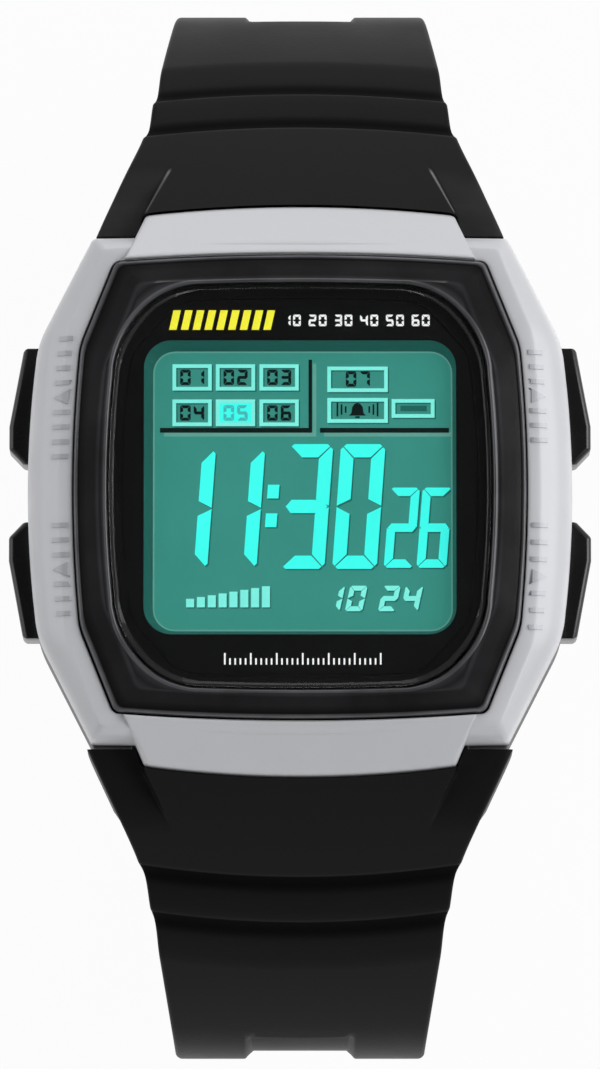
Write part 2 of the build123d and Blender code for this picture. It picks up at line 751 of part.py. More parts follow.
# Push buttons: each has a wedge cap on a sealed stem, pushed out by a spring
for button_name, (side_x, side_y) in button_sides.items():
    near_y = side_y * (button_centre_y - button_length / 2)
    far_y = side_y * (button_centre_y + button_length / 2)
    start_y = near_y + side_y * button_face_start
    slope_y = start_y + side_y * button_face_length
    inner_x = side_x * button_inner_x
    thin_x = side_x * (case_half_x + button_thin_stand_out)
    thick_x = side_x * (case_half_x + button_stand_out)
    stem_line = along_x(0, side_y * button_centre_y, button_z)
    with BuildPart() as button_cap:
        with BuildSketch(Plane.XY.offset(button_z - button_height / 2)):
            with BuildLine():
                Polyline((inner_x, near_y), (thin_x, near_y), (thick_x, start_y), (thick_x, slope_y),
                         (thin_x, far_y), (inner_x, far_y), close=True)
            make_face()
        extrude(amount=button_height)
        outer_faces = button_cap.faces().filter_by(Axis.Z, reverse=True)
        outer_faces = outer_faces.filter_by(lambda f: abs(f.center().X) > case_half_x)
        fillet(outer_faces.edges().filter_by(lambda e: abs(e.center().X) > case_half_x),
               button_edge_radius)
        with BuildSketch(stem_line.offset(inner_x)):
            Circle(spring_pocket_radius)
        extrude(amount=side_x * spring_pocket_depth, mode=Mode.SUBTRACT)
        with BuildSketch(stem_line.offset(side_x * spring_seat_x)):
            Circle(stem_radius)
        extrude(amount=side_x * stem_grip, mode=Mode.SUBTRACT)
    write(button_cap, f"{button_name}_cap")

    with BuildPart() as button_stem:
        with BuildSketch(stem_line.offset(side_x * stem_inner_x)):
            Circle(stem_radius)
        extrude(amount=side_x * (stem_outer_x - stem_inner_x))
        with BuildSketch(stem_line.offset(side_x * stem_clip_x)):
            Circle(stem_radius)
            Circle(stem_radius - clip_groove_depth, mode=Mode.SUBTRACT)
        extrude(amount=side_x * stem_clip_thickness, mode=Mode.SUBTRACT)
        with BuildSketch(stem_line.offset(side_x * (seal_x - seal_wire_radius))):
            Circle(stem_radius)
            Circle(seal_ring_radius - seal_wire_radius, mode=Mode.SUBTRACT)
        extrude(amount=side_x * 2 * seal_wire_radius, mode=Mode.SUBTRACT)
    write(button_stem, f"{button_name}_stem")

    with BuildPart() as button_seal:
        with BuildSketch(Plane(origin=(side_x * seal_x, side_y * button_centre_y, button_z),
                               x_dir=(0, 1, 0), z_dir=(0, 0, 1))):
            with Locations((seal_ring_radius, 0)):
                RegularPolygon(seal_wire_radius, wire_sides)
        revolve(axis=Axis((side_x * seal_x, side_y * button_centre_y, button_z), (1, 0, 0)))
    write(button_seal, f"{button_name}_seal")

    with BuildPart() as stem_clip:
        with BuildSketch(stem_line.offset(side_x * stem_clip_x)):
            Circle(stem_clip_radius)
            Circle(stem_radius - clip_groove_depth, mode=Mode.SUBTRACT)
            Rectangle(stem_clip_mouth, stem_clip_radius, align=(Align.CENTER, Align.MAX),
                      mode=Mode.SUBTRACT)
        extrude(amount=side_x * stem_clip_thickness)
    write(stem_clip, f"{button_name}_clip")

    spring_plane = Plane(origin=(side_x * pocket_floor_x, side_y * button_centre_y, button_z),
                         x_dir=(0, 1, 0), z_dir=(side_x, 0, 0))
    button_spring = coil_spring(spring_plane, spring_coil_radius, spring_wire_radius, spring_turns,
                                spring_seat_x - pocket_floor_x)
    write(button_spring, f"{button_name}_spring")

# Places on the strap's side view, as distances outward and up
ear_face_y = case_half_y + case_crown + part_gap
lip_start_angle = degrees(asin((ear_face_y - upper_centre_y) / upper_bend_radius))
heel_z = bar_z - ear_wall
bend_centre_z = knee_centre_z


def on_arc(centre, radius, angle):
    """The point on a side-view circle, at an angle turned from straight up towards outward."""
    return (centre[0] + radius * sin(radians(angle)), centre[1] + radius * cos(radians(angle)))


def arc_between(centre, radius, start_angle, end_angle):
    """A side-view arc from one angle to another; use it inside a line builder."""
    return ThreePointArc(on_arc(centre, radius, start_angle),
                         on_arc(centre, radius, (start_angle + end_angle) / 2),
                         on_arc(centre, radius, end_angle))


upper_centre = (upper_centre_y, upper_centre_z)
knee_centre = (knee_centre_y, knee_centre_z)


def shoulder_band(depth, start_angle, end_angle):
    """The side view of the strap's outer skin over its shoulder, to a depth."""
    with BuildSketch(Plane.YZ) as band:
        with BuildLine():
            if start_angle < knee_angle:
                arc_between(upper_centre, upper_bend_radius, start_angle, knee_angle)
                arc_between(upper_centre, upper_bend_radius - depth, knee_angle, start_angle)
                Line(on_arc(upper_centre, upper_bend_radius - depth, start_angle),
                     on_arc(upper_centre, upper_bend_radius, start_angle))
            else:
                Line(on_arc(knee_centre, knee_radius - depth, start_angle),
                     on_arc(knee_centre, knee_radius, start_angle))
            knee_start = max(start_angle, knee_angle)
            arc_between(knee_centre, knee_radius, knee_start, end_angle)
            arc_between(knee_centre, knee_radius - depth, end_angle, knee_start)
            Line(on_arc(knee_centre, knee_radius, end_angle),
                 on_arc(knee_centre, knee_radius - depth, end_angle))
        make_face()
    return band.sketch


def bend_band(radius, sweep_angle, depth):
    """The side view of the strap's outer skin round its lower bend, to a depth."""
    centre = (horizon_y - radius, bend_centre_z)
    end_angle = 90 + sweep_angle
    with BuildSketch(Plane.YZ) as band:
        with BuildLine():
            arc_between(centre, radius, 90, end_angle)
            Line(on_arc(centre, radius, end_angle), on_arc(centre, radius - depth, end_angle))
            arc_between(centre, radius - depth, end_angle, 90)
            Line(on_arc(centre, radius - depth, 90), on_arc(centre, radius, 90))
        make_face()
    return band.sketch


def run_start(radius, sweep_angle):
    """The side-view plane at the end of a bend: X runs along the strap and Y points outward."""
    end_angle = 90 + sweep_angle
    y, z = on_arc((horizon_y - radius, bend_centre_z), radius, end_angle)
    along = (0, cos(radians(end_angle)), -sin(radians(end_angle)))
    return Plane(origin=(0, y, z), x_dir=along, z_dir=(1, 0, 0))


def transverse_arc(half_width, y):
    """A plan-view arc across the strap, bowed outward."""
    return ThreePointArc((-half_width, y - groove_bow), (0, y), (half_width, y - groove_bow))


fade_y = lip_y + wing_fade
fade_angle = degrees(asin((fade_y - upper_centre_y) / upper_bend_radius))
ear_rise = strap_lip_height - bar_height + overrun
lug_half = lug_width / 2 + swing_gap
shoulder_half = lug_width / 2 + ear_width
kink_half = lug_width / 2 - kink_inset
nose_gap = part_gap + running_gap
above_strap = bar_z + upper_bend_radius


def wing_cut():
    """The space above the lowered wings, beside the middle panel that fades out along two creases."""
    panel_half = hood_outer_width / 2 + lip_gap
    fade_half = panel_half - crease_inset
    with BuildPart() as cut:
        with BuildSketch(Plane.YZ):
            with BuildLine():
                Polyline((ear_face_y - overrun, back_z + wing_height), (ear_face_y, back_z + wing_height),
                         on_arc(upper_centre, upper_bend_radius, fade_angle),
                         (fade_y, above_strap), (ear_face_y - overrun, above_strap), close=True)
            make_face()
        extrude(amount=case_half_x, both=True)
        with BuildSketch(Plane.XY):
            with BuildLine():
                Polyline((panel_half, ear_face_y - 2 * overrun), (panel_half, hood_corner_y),
                         (fade_half, fade_y + overrun), (-fade_half, fade_y + overrun),
                         (-panel_half, hood_corner_y), (-panel_half, ear_face_y - 2 * overrun), close=True)
            make_face()
        extrude(amount=above_strap, mode=Mode.SUBTRACT)
    return cut.part


def lug_cut():
    """The space that the case's lug and hood take out of the strap's head."""
    with BuildPart() as cut:
        with BuildSketch(Plane.YZ):
            with Locations((bar_y, bar_z)):
                Circle(lug_nose_radius + nose_gap)
                Rectangle(lug_nose_radius + overrun, 2 * ear_rise + 2 * overrun,
                          align=(Align.MAX, Align.CENTER))
        extrude(amount=lug_half, both=True)
        extrude(offset(hood_outline(bar_height), amount=lip_gap), amount=above_strap - bar_z)
    return cut.part


def groove_cut(reach, depth):
    """One curved groove across the strap's shoulder, at a reach beyond the lip."""
    with BuildPart() as cut:
        extrude(shoulder_band(depth, lip_start_angle, 90), amount=case_half_x, both=True)
        far_y = lip_y + reach + groove_width / 2
        with BuildSketch(Plane.XY):
            with BuildLine():
                transverse_arc(case_half_x, far_y)
                Line((case_half_x, far_y - groove_bow), (case_half_x, far_y - groove_bow - groove_width))
                transverse_arc(case_half_x, far_y - groove_width)
                Line((-case_half_x, far_y - groove_bow), (-case_half_x, far_y - groove_bow - groove_width))
            make_face()
        extrude(amount=above_strap, mode=Mode.INTERSECT)
    return cut.part


def strap_blank(bend_radius, sweep_angle, straight, end_width):
    """A strap on the twelve o'clock side: ears, shoulder, lower bend and a straight run."""
    with BuildPart() as blank:
        with BuildSketch(Plane.YZ):
            with BuildLine():
                arc_between(upper_centre, upper_bend_radius, lip_start_angle, knee_angle)
                arc_between(knee_centre, knee_radius, knee_angle, 90)
                Line(on_arc(knee_centre, knee_radius, 90),
                     on_arc(knee_centre, knee_radius - strap_thickness, 90))
                arc_between(knee_centre, knee_radius - strap_thickness, 90, knee_angle)
                arc_between(upper_centre, upper_bend_radius - strap_thickness, knee_angle, heel_angle)
                Polyline(on_arc(upper_centre, upper_bend_radius - strap_thickness, heel_angle),
                         (bar_y, heel_z), (ear_face_y, bar_z),
                         on_arc(upper_centre, upper_bend_radius, lip_start_angle))
            make_face()
            with Locations((bar_y, bar_z)):
                Circle(ear_wall)
            # The ears stand clear of the case, and lean away from it above the bar
            with BuildLine():
                Polyline((ear_face_y, heel_z - overrun), (ear_face_y, bar_z),
                         (ear_face_y + ear_rise * sin(radians(ear_tilt)), bar_z + ear_rise),
                         (ear_face_y - ear_wall, bar_z + ear_rise),
                         (ear_face_y - ear_wall, heel_z - overrun), close=True)
            make_face(mode=Mode.SUBTRACT)
        extrude(amount=case_half_x, both=True)
        with BuildSketch(Plane.XY) as plan:
            with BuildLine():
                Polyline((shoulder_half, case_half_y), (kink_half, lip_y + kink_reach),
                         (horizon_width / 2, horizon_y), (-horizon_width / 2, horizon_y),
                         (-kink_half, lip_y + kink_reach), (-shoulder_half, case_half_y),
                         close=True)
            make_face()
            kinks = plan.vertices().filter_by(lambda v: case_half_y + overrun < v.Y < horizon_y - overrun)
            fillet(kinks, kink_radius)
        extrude(amount=above_strap, mode=Mode.INTERSECT)
        add(wing_cut(), mode=Mode.SUBTRACT)
        add(lug_cut(), mode=Mode.SUBTRACT)
        for reach in groove_reaches:
            add(groove_cut(reach, groove_depth), mode=Mode.SUBTRACT)
        add(bend_block(bend_radius, sweep_angle, end_width))
        run = run_start(bend_radius, sweep_angle)
        with BuildSketch(run):
            Rectangle(straight, strap_thickness, align=(Align.MIN, Align.MAX))
        extrude(amount=end_width / 2, both=True)
        # Shallow channel down the middle of the outer face
        extrude(shoulder_band(channel_depth, channel_start_angle, 90), amount=channel_width / 2,
                both=True, mode=Mode.SUBTRACT)
        extrude(bend_band(bend_radius, sweep_angle, channel_depth), amount=channel_width / 2,
                both=True, mode=Mode.SUBTRACT)
        with BuildSketch(Plane.YZ):
            with Locations((bar_y, bar_z)):
                Circle(bar_tip_radius + running_gap)
        extrude(amount=lug_half + bar_tip_length + cover_gap, both=True, mode=Mode.SUBTRACT)
    return blank.part


def bend_block(bend_radius, sweep_angle, end_width):
    """The strap's lower bend, narrowing from the horizon to its end width."""
    low_z = bend_centre_z - bend_radius
    with BuildPart() as block:
        extrude(bend_band(bend_radius, sweep_angle, strap_thickness), amount=horizon_width / 2, both=True)
        with BuildSketch(Plane.XZ):
            with BuildLine():
                Polyline((horizon_width / 2, bend_centre_z), (end_width / 2, low_z),
                         (-end_width / 2, low_z), (-horizon_width / 2, bend_centre_z), close=True)
            make_face()
        extrude(amount=-horizon_y, mode=Mode.INTERSECT)
    return block.part


# Spring bars, one through each lug, with tips in the strap's ears
for side_y, bar_name in ((1, "upper_spring_bar"), (-1, "lower_spring_bar")):
    with BuildPart() as spring_bar:
        with BuildSketch(Plane.YZ):
            with Locations((side_y * bar_y, bar_z)):
                Circle(bar_radius)
        extrude(amount=lug_half - seat_gap, both=True)
        with BuildSketch(Plane.YZ):
            with Locations((side_y * bar_y, bar_z)):
                Circle(bar_tip_radius)
        extrude(amount=lug_half + bar_tip_length, both=True)
    write(spring_bar, bar_name)

# Long strap at six o'clock, with its row of holes and rounded tail
long_run = run_start(long_bend_radius, 90)
with BuildPart() as long_strap:
    add(strap_blank(long_bend_radius, 90, long_straight, long_end_width))
    tail_corners = long_strap.edges().filter_by(Axis.Z).filter_by(lambda e: e.center().Z < strap_thickness)
    fillet(tail_corners.group_by(Axis.Y)[0], tail_corner_radius)
    with BuildSketch(Plane.XY.offset(strap_thickness)):
        with Locations((0, long_run.origin.Y - long_straight + tail_margin)):
            with GridLocations(0, hole_pitch, 1, hole_count, align=(Align.CENTER, Align.MIN)):
                SlotOverall(hole_length, hole_width)
    extrude(amount=-strap_thickness, mode=Mode.SUBTRACT)
    mirror(about=Plane.XZ, mode=Mode.REPLACE)
write(long_strap, "long_strap")

# Short strap at twelve o'clock, ending in the eye that holds the buckle
short_run = run_start(short_bend_radius, short_bend_angle)
eye_place = (short_straight, -strap_thickness / 2)
frame_half = short_end_width / 2 + part_gap
tongue_low = buckle_thickness / 2 + seat_gap
tongue_ring_radius = tongue_low + tongue_thickness
with BuildPart() as short_strap:
    add(strap_blank(short_bend_radius, short_bend_angle, short_straight, short_end_width))
    with BuildSketch(short_run):
        with Locations(eye_place):
            Circle(eye_radius)
    extrude(amount=short_end_width / 2, both=True)
    with BuildSketch(short_run):
        with Locations(eye_place):
            Circle(buckle_bar_radius + running_gap)
    extrude(amount=short_end_width / 2, both=True, mode=Mode.SUBTRACT)
    # Slot in the eye for the tongue
    with BuildSketch(short_run):
        with Locations(eye_place):
            Circle(tongue_ring_radius + tongue_slot_gap)
            Rectangle(eye_radius + overrun, 2 * eye_radius + overrun, align=(Align.MIN, Align.CENTER))
    extrude(amount=tongue_width / 2 + tongue_slot_gap, both=True, mode=Mode.SUBTRACT)
write(short_strap, "short_strap")

# Buckle: frame, bar and tongue, hinged together at the end of the short strap
buckle_side = Plane(origin=short_run.from_local_coords((short_straight, -strap_thickness / 2, 0)),
                    x_dir=short_run.x_dir, z_dir=(1, 0, 0))
buckle_top = Plane(origin=buckle_side.origin, x_dir=short_run.x_dir, z_dir=short_run.y_dir)
buckle_reach = buckle_inner_length + buckle_front_bar
with BuildPart() as buckle_frame:
    with BuildSketch(buckle_top) as frame_outline:
        with Locations((-buckle_heel, 0)):
            Rectangle(buckle_heel + buckle_reach, 2 * (frame_half + buckle_arm),
                      align=(Align.MIN, Align.CENTER))
        fillet(frame_outline.vertices().filter_by(lambda v: v.X > buckle_inner_length),
               buckle_corner_radius)
        with Locations((-buckle_heel, 0)):
            Rectangle(buckle_heel + buckle_inner_length, 2 * frame_half, align=(Align.MIN, Align.CENTER),
                      mode=Mode.SUBTRACT)
    extrude(amount=buckle_thickness / 2, both=True)
    with BuildSketch(buckle_side):
        Circle(buckle_bar_radius)
    extrude(amount=frame_half + buckle_arm, both=True, mode=Mode.SUBTRACT)
write(buckle_frame, "buckle_frame")

with BuildPart() as buckle_bar:
    with BuildSketch(buckle_side):
        Circle(buckle_bar_radius)
    extrude(amount=frame_half + buckle_arm, both=True)
write(buckle_bar, "buckle_bar")

with BuildPart() as buckle_tongue:
    with BuildSketch(buckle_side):
        Circle(tongue_ring_radius)
        with Locations((0, tongue_low)):
            Rectangle(buckle_reach + tongue_overhang, tongue_thickness, align=(Align.MIN, Align.MIN))
        Circle(buckle_bar_radius + running_gap, mode=Mode.SUBTRACT)
    extrude(amount=tongue_width / 2, both=True)
    tip = buckle_tongue.faces().sort_by(Axis(buckle_side.origin, short_run.x_dir))[-1]
    fillet(tip.edges().filter_by(Axis.X, reverse=True), tongue_tip_radius)
write(buckle_tongue, "buckle_tongue")

# Keeper: the loop that slides along the short strap and holds the long strap's tail
keeper_base = short_run.from_local_coords((keeper_rest - keeper_length / 2, -strap_thickness / 2, 0))
with BuildPart() as keeper_loop:
    with BuildSketch(Plane(origin=keeper_base, x_dir=(1, 0, 0), z_dir=short_run.x_dir)):
        RectangleRounded(2 * (frame_half + keeper_wall), strap_thickness + 2 * (part_gap + keeper_wall),
                         keeper_corner_radius)
        Rectangle(2 * frame_half, strap_thickness + 2 * part_gap, mode=Mode.SUBTRACT)
    extrude(amount=keeper_length)
write(keeper_loop, "keeper_loop")
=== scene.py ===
# %% [markdown]
# A digital wrist watch, seen from above its dial. The solids of the watch come packed as a fixed
# frame: every piece that moves already rides on its own body. This script dresses that frame. It
# works out finer surfaces for the pieces that the eye rests on, gives every piece a finish made of
# shader nodes, and sets the floor, the lamps and the camera.

import math

import bmesh
import bpy
import numpy as np
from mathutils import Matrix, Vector


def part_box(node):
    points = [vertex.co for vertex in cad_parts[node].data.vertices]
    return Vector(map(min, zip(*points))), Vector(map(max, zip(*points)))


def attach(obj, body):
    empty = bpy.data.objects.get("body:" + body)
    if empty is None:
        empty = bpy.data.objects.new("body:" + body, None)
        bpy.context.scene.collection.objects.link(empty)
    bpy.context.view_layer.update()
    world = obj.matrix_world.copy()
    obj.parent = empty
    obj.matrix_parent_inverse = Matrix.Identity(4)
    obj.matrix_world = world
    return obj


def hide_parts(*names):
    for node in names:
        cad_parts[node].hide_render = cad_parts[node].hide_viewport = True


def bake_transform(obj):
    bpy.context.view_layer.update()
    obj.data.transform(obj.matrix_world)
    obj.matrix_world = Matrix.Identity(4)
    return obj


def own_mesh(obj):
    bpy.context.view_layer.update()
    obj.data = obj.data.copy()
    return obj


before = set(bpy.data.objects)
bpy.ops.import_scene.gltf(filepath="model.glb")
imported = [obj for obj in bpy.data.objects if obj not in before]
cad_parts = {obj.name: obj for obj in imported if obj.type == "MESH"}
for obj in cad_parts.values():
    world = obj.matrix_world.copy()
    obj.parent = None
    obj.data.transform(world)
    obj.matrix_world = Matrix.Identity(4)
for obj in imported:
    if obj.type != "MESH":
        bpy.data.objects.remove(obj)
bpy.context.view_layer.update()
mm = 0.001

# %% [markdown]
# The solids already say where everything is, so the sizes used here are read from them. Each box is
# two corners, and most names below are its upper one. The few values written as millimetres belong
# to outlines, bands and edges that only this script draws.

# %% Places read from the solids
case_high = np.array(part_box("case_body")[1])
cover_high = np.array(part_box("bezel_cover")[1])
ring_high = np.array(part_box("bezel_ring")[1])
lens_high = np.array(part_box("lens")[1])
mask_high = np.array(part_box("dial_mask")[1])
film_high = np.array(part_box("lcd_polarizer")[1])
back_z = float(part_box("case_back")[0][2])
half_case = case_high[0]
# How far the outlines of case, bezel and lens reach towards twelve o'clock.
case_end = 18.4 * mm
bezel_end = 16.45 * mm
lens_end = 14.5 * mm
print("case back at", round(back_z / mm, 2), "mm, cover top at", round(cover_high[2] / mm, 2), "mm")


def height(value):
    """A height in millimetres above the underside of the case back, as a level in metres."""
    return back_z + value * mm


# %% [markdown]
# Small helpers make meshes. A surface is a grid of points worked out by numpy, and its faces follow
# from the grid's rows and columns, so one function can turn any grid into a mesh. Smooth shading is
# set here, and sharp creases are kept by the angle between faces.

# %% Mesh helpers
def grid_faces(rows, columns, wrap_rows=False, wrap_columns=False):
    """Quads between neighbours of a grid of points, numbered row by row."""
    r = np.arange(rows if wrap_rows else rows - 1)
    c = np.arange(columns if wrap_columns else columns - 1)
    r, c = np.meshgrid(r, c, indexing="ij")
    r, c = r.ravel(), c.ravel()
    below, beside = (r + 1) % rows, (c + 1) % columns
    return np.stack([r * columns + c, r * columns + beside,
                     below * columns + beside, below * columns + c], 1)


def capped_faces(rows, count):
    """Faces of a stack of rings with count points each, closed by one flat face at either end."""
    ring = np.arange(count)
    return (grid_faces(rows, count, wrap_columns=True).tolist()
            + [((rows - 1) * count + ring).tolist(), ring[::-1].tolist()])


def linked(name, mesh, crease):
    """An object at the origin for a mesh, shaded smooth, with edges sharper than the crease kept."""
    mesh.shade_smooth()
    mesh.set_sharp_from_angle(angle=math.radians(crease))
    piece = bpy.data.objects.new(name, mesh)
    bpy.context.scene.collection.objects.link(piece)
    return piece


def new_piece(name, points, faces, body="case", crease=40):
    """A piece that rides on a body; points are in metres, and a face may have any number of corners."""
    mesh = bpy.data.meshes.new(name)
    faces = faces.tolist() if isinstance(faces, np.ndarray) else faces
    mesh.from_pydata(np.asarray(points).reshape(-1, 3).tolist(), [], faces)
    piece = linked(name, mesh, crease)
    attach(piece, body)
    return piece


def paint(piece, material):
    """Gives a piece one material."""
    piece.data.materials.clear()
    piece.data.materials.append(material)


print("faces of a grid of 3 by 4 points:", len(grid_faces(3, 4)))

# %% [markdown]
# The case, the bezel and the lens share one kind of outline: a barrel with bowed sides, slanted
# corners and lightly bowed ends. It is drawn once as eight edges that bulge by a parabola, with a
# round arc at each corner. Every outline gets the same number of points in the same order, so
# a band between two outlines is just a row of quads from one to the other.

# %% Barrel outlines
corner_steps = 14
edge_steps = {"side": 40, "slant": 12, "end": 44}


def barrel(half_x, half_y, bend_inset, bend_setback, end_inset, crown, bend_radius, corner_radius):
    """Points of a closed barrel outline, anticlockwise.

    Each edge runs from corner to corner as a straight line plus a parabola of the given bulge, and
    each corner is an arc between the tangents of its two edges.
    """
    bx, by, ex = half_x - bend_inset, half_y - bend_setback, half_x - end_inset
    corners = np.array([(bx, -by), (bx, by), (ex, half_y), (-ex, half_y),
                        (-bx, by), (-bx, -by), (-ex, -half_y), (ex, -half_y)])
    kinds = ["side", "slant", "end", "slant", "side", "slant", "end", "slant"]
    bulges = {"side": bend_inset, "slant": 0.0, "end": crown}
    radii = [bend_radius, bend_radius, corner_radius, corner_radius] * 2
    following = np.roll(corners, -1, axis=0)
    along = following - corners
    lengths = np.hypot(along[:, 0], along[:, 1])
    out = np.stack([along[:, 1], -along[:, 0]], 1) / lengths[:, None]
    rise = np.array([bulges[kind] for kind in kinds])
    leaving = along + 4 * rise[:, None] * out
    arriving = along - 4 * rise[:, None] * out
    leaving /= np.hypot(leaving[:, 0], leaving[:, 1])[:, None]
    arriving /= np.hypot(arriving[:, 0], arriving[:, 1])[:, None]
    turns = [math.acos(float(np.clip(arriving[i - 1] @ leaving[i], -1, 1))) for i in range(8)]
    cuts = [radius * math.tan(turn / 2) for radius, turn in zip(radii, turns)]
    line = []
    for i in range(8):
        before = arriving[i - 1]
        centre = corners[i] - before * cuts[i] + np.array([-before[1], before[0]]) * radii[i]
        spoke = np.array([before[1], -before[0]]) * radii[i]
        angle = np.linspace(0, turns[i], corner_steps)
        line.append(centre + np.stack([spoke[0] * np.cos(angle) - spoke[1] * np.sin(angle),
                                       spoke[0] * np.sin(angle) + spoke[1] * np.cos(angle)], 1))
        share = np.linspace(cuts[i] / lengths[i], 1 - cuts[(i + 1) % 8] / lengths[i],
                            edge_steps[kinds[i]] + 2)[1:-1, None]
        line.append(corners[i] + along[i] * share + out[i] * 4 * rise[i] * share * (1 - share))
    return np.concatenate(line)


print("points at a corner and along a side:", corner_steps, edge_steps["side"])

# %% [markdown]
# The case, the bezel and the lens draw the barrel with their own sizes. An inset draws it anew,
# smaller all round, so the band between two such outlines is as wide at the ends as at the sides.
# Scaling one outline instead would make it wider at the ends.

# %% Outlines of the case, the bezel and the lens
play = 0.1 * mm


def case_ring(inset):
    """The case outline, drawn anew with its half sizes less an inset."""
    return barrel(half_case - inset, case_end - inset, bend_inset=0.75 * mm, bend_setback=7.65 * mm,
                  end_inset=4.65 * mm, crown=0.1 * mm, bend_radius=7.0 * mm, corner_radius=0.5 * mm)


def bezel_ring(inset):
    """The bezel outline less an inset; a negative inset grows it."""
    return barrel(ring_high[0] + play - inset, bezel_end - inset, bend_inset=0.52 * mm,
                  bend_setback=6.15 * mm, end_inset=2.98 * mm, crown=0.5 * mm, bend_radius=5.0 * mm,
                  corner_radius=0.7 * mm)


def lens_ring(inset):
    """The opening that the lens sits in, less an inset."""
    return barrel(lens_high[0] + play - inset, lens_end - inset, bend_inset=0.75 * mm,
                  bend_setback=3.7 * mm, end_inset=4.1 * mm, crown=0.25 * mm, bend_radius=7.4 * mm,
                  corner_radius=6.0 * mm)


outline_points = len(case_ring(0))
print("points in one outline:", outline_points)

# %% [markdown]
# Most of what shows round the dial is a band, which is a section carried round an outline. One
# helper stacks the rings of such a band into a mesh. Another rounds the corners of the section
# first, because a real moulding has no sharp ones, and each needs only as many points as it shows.

# %% Bands round the dial
def ring_points(rings):
    """A grid of points, one row for each ring, which is an outline and the level that it lies at."""
    return np.stack([np.column_stack([line, np.full(len(line), level)]) for line, level in rings])


def ring_stack(name, rings, crease=40):
    """A closed band round the dial: it goes from ring to ring, and from the last back to the first."""
    points = ring_points(rings)
    faces = grid_faces(len(rings), points.shape[1], wrap_rows=True, wrap_columns=True)
    return new_piece(name, points, faces, crease=crease)


def rounded_steps(corners, radii, steps=5):
    """A line through corners of a flat section, with each inner corner turned by a quadratic curve."""
    corners = np.asarray(corners, float)
    line = [corners[:1]]
    for before, corner, after, radius in zip(corners, corners[1:], corners[2:], radii):
        lead, leave = before - corner, after - corner
        start = corner + lead / np.linalg.norm(lead) * radius
        stop = corner + leave / np.linalg.norm(leave) * radius
        t = np.linspace(0, 1, steps)[:, None]
        line.append((1 - t) ** 2 * start + 2 * t * (1 - t) * corner + t ** 2 * stop)
    line.append(corners[-1:])
    return np.concatenate(line)


print("points of a section with one round corner:", len(rounded_steps([(0, 0), (1, 0), (1, 1)], [0.2])))

# %% [markdown]
# The photograph is taken from almost straight above the dial, a little towards six o'clock. How far
# away it was taken shows in how much the near parts outgrow the far ones, and that is very little.
# So the camera stands 700 mm away on that line, with a lens long enough that the picture's height
# covers the same stretch of the watch as in the photograph.

# %% Camera
picture_height = 77.2 * mm
camera_distance = 700 * mm
camera_elevation = math.radians(82)
camera_aim = np.array([0.0, -3.1 * mm, height(6.0)])
camera_way = np.array([0, -math.cos(camera_elevation), math.sin(camera_elevation)])
camera_data = bpy.data.cameras.new("camera")
camera_data.sensor_fit = "VERTICAL"
camera_data.lens = camera_data.sensor_height * camera_distance / picture_height
camera_data.clip_start = 0.01
camera = bpy.data.objects.new("camera", camera_data)
bpy.context.scene.collection.objects.link(camera)
camera.location = camera_aim + camera_distance * camera_way
camera.rotation_euler = (math.pi / 2 - camera_elevation, 0, 0)
bpy.context.scene.camera = camera
print("lens in mm:", round(camera_data.lens, 1))

# %% [markdown]
# A studio for a small glossy thing is a white table, wide soft lamps at the sides and a dark
# ceiling: the sides light the sloped metal, and the flat lens mirrors only the dark ceiling, so the
# display behind it stays clear. The lamps are turned to face the watch.

# %% Lamps
def soft_lamp(name, place, size, power):
    """A square area lamp at a place in metres, facing the watch."""
    lamp_data = bpy.data.lights.new(name, "AREA")
    lamp_data.shape = "SQUARE"
    lamp_data.size = size
    lamp_data.energy = power
    lamp = bpy.data.objects.new(name, lamp_data)
    bpy.context.scene.collection.objects.link(lamp)
    lamp.location = place
    towards = (camera_aim - np.array(place)).tolist()
    lamp.rotation_euler = Vector(towards).to_track_quat("-Z", "Y").to_euler()


soft_lamp("left_lamp", (-0.62, 0.06, 0.42), size=0.50, power=1.15)
soft_lamp("right_lamp", (0.55, 0.08, 0.50), size=0.50, power=3.1)
soft_lamp("back_lamp", (0.0, 0.66, 0.40), size=0.55, power=1.35)
soft_lamp("front_lamp", (0.0, -0.68, 0.34), size=0.50, power=0.5)

# %% [markdown]
# Materials are graphs of small nodes. They can be wired by hand in the shader editor, or built by
# code, which can give many finishes the same layout. A few helpers keep that code short: one adds
# any node, and three more add the kinds that come up most, which are arithmetic, a change of range
# and a mix of two colours. Each takes either a socket to link or a plain value.

# %% Shader node helpers
def feed(tree, value, socket):
    """Links another socket to this one, or sets this one to a plain value."""
    if isinstance(value, bpy.types.NodeSocket):
        tree.links.new(value, socket)
    else:
        socket.default_value = value


def node(tree, kind, **inputs):
    """Adds a shader node and feeds its inputs by name; a space in a name is written as an underscore."""
    made = tree.nodes.new(kind)
    for name, value in inputs.items():
        feed(tree, value, made.inputs[name.replace("_", " ")])
    return made


def combined(tree, operation, *values):
    """The result of a Math node, such as the larger of two values or their product."""
    made = node(tree, "ShaderNodeMath")
    made.operation = operation
    for value, socket in zip(values, made.inputs):
        feed(tree, value, socket)
    return made.outputs[0]


def ramp(tree, value, below, above, low=0.0, high=1.0):
    """A value that goes from below to above while the one it follows goes from low to high."""
    made = node(tree, "ShaderNodeMapRange", Value=value, From_Min=low, From_Max=high, To_Min=below,
                To_Max=above)
    return made.outputs[0]


def mixed(tree, share, first, second):
    """The colour that lies a share of the way from the first colour to the second."""
    made = node(tree, "ShaderNodeMix")
    made.data_type = "RGBA"
    for value, socket in ((share, made.inputs["Factor"]), (first, made.inputs[6]), (second, made.inputs[7])):
        feed(tree, value, socket)
    return made.outputs[2]


print("kinds of shader node:", sum(kind.startswith("ShaderNode") for kind in dir(bpy.types)))

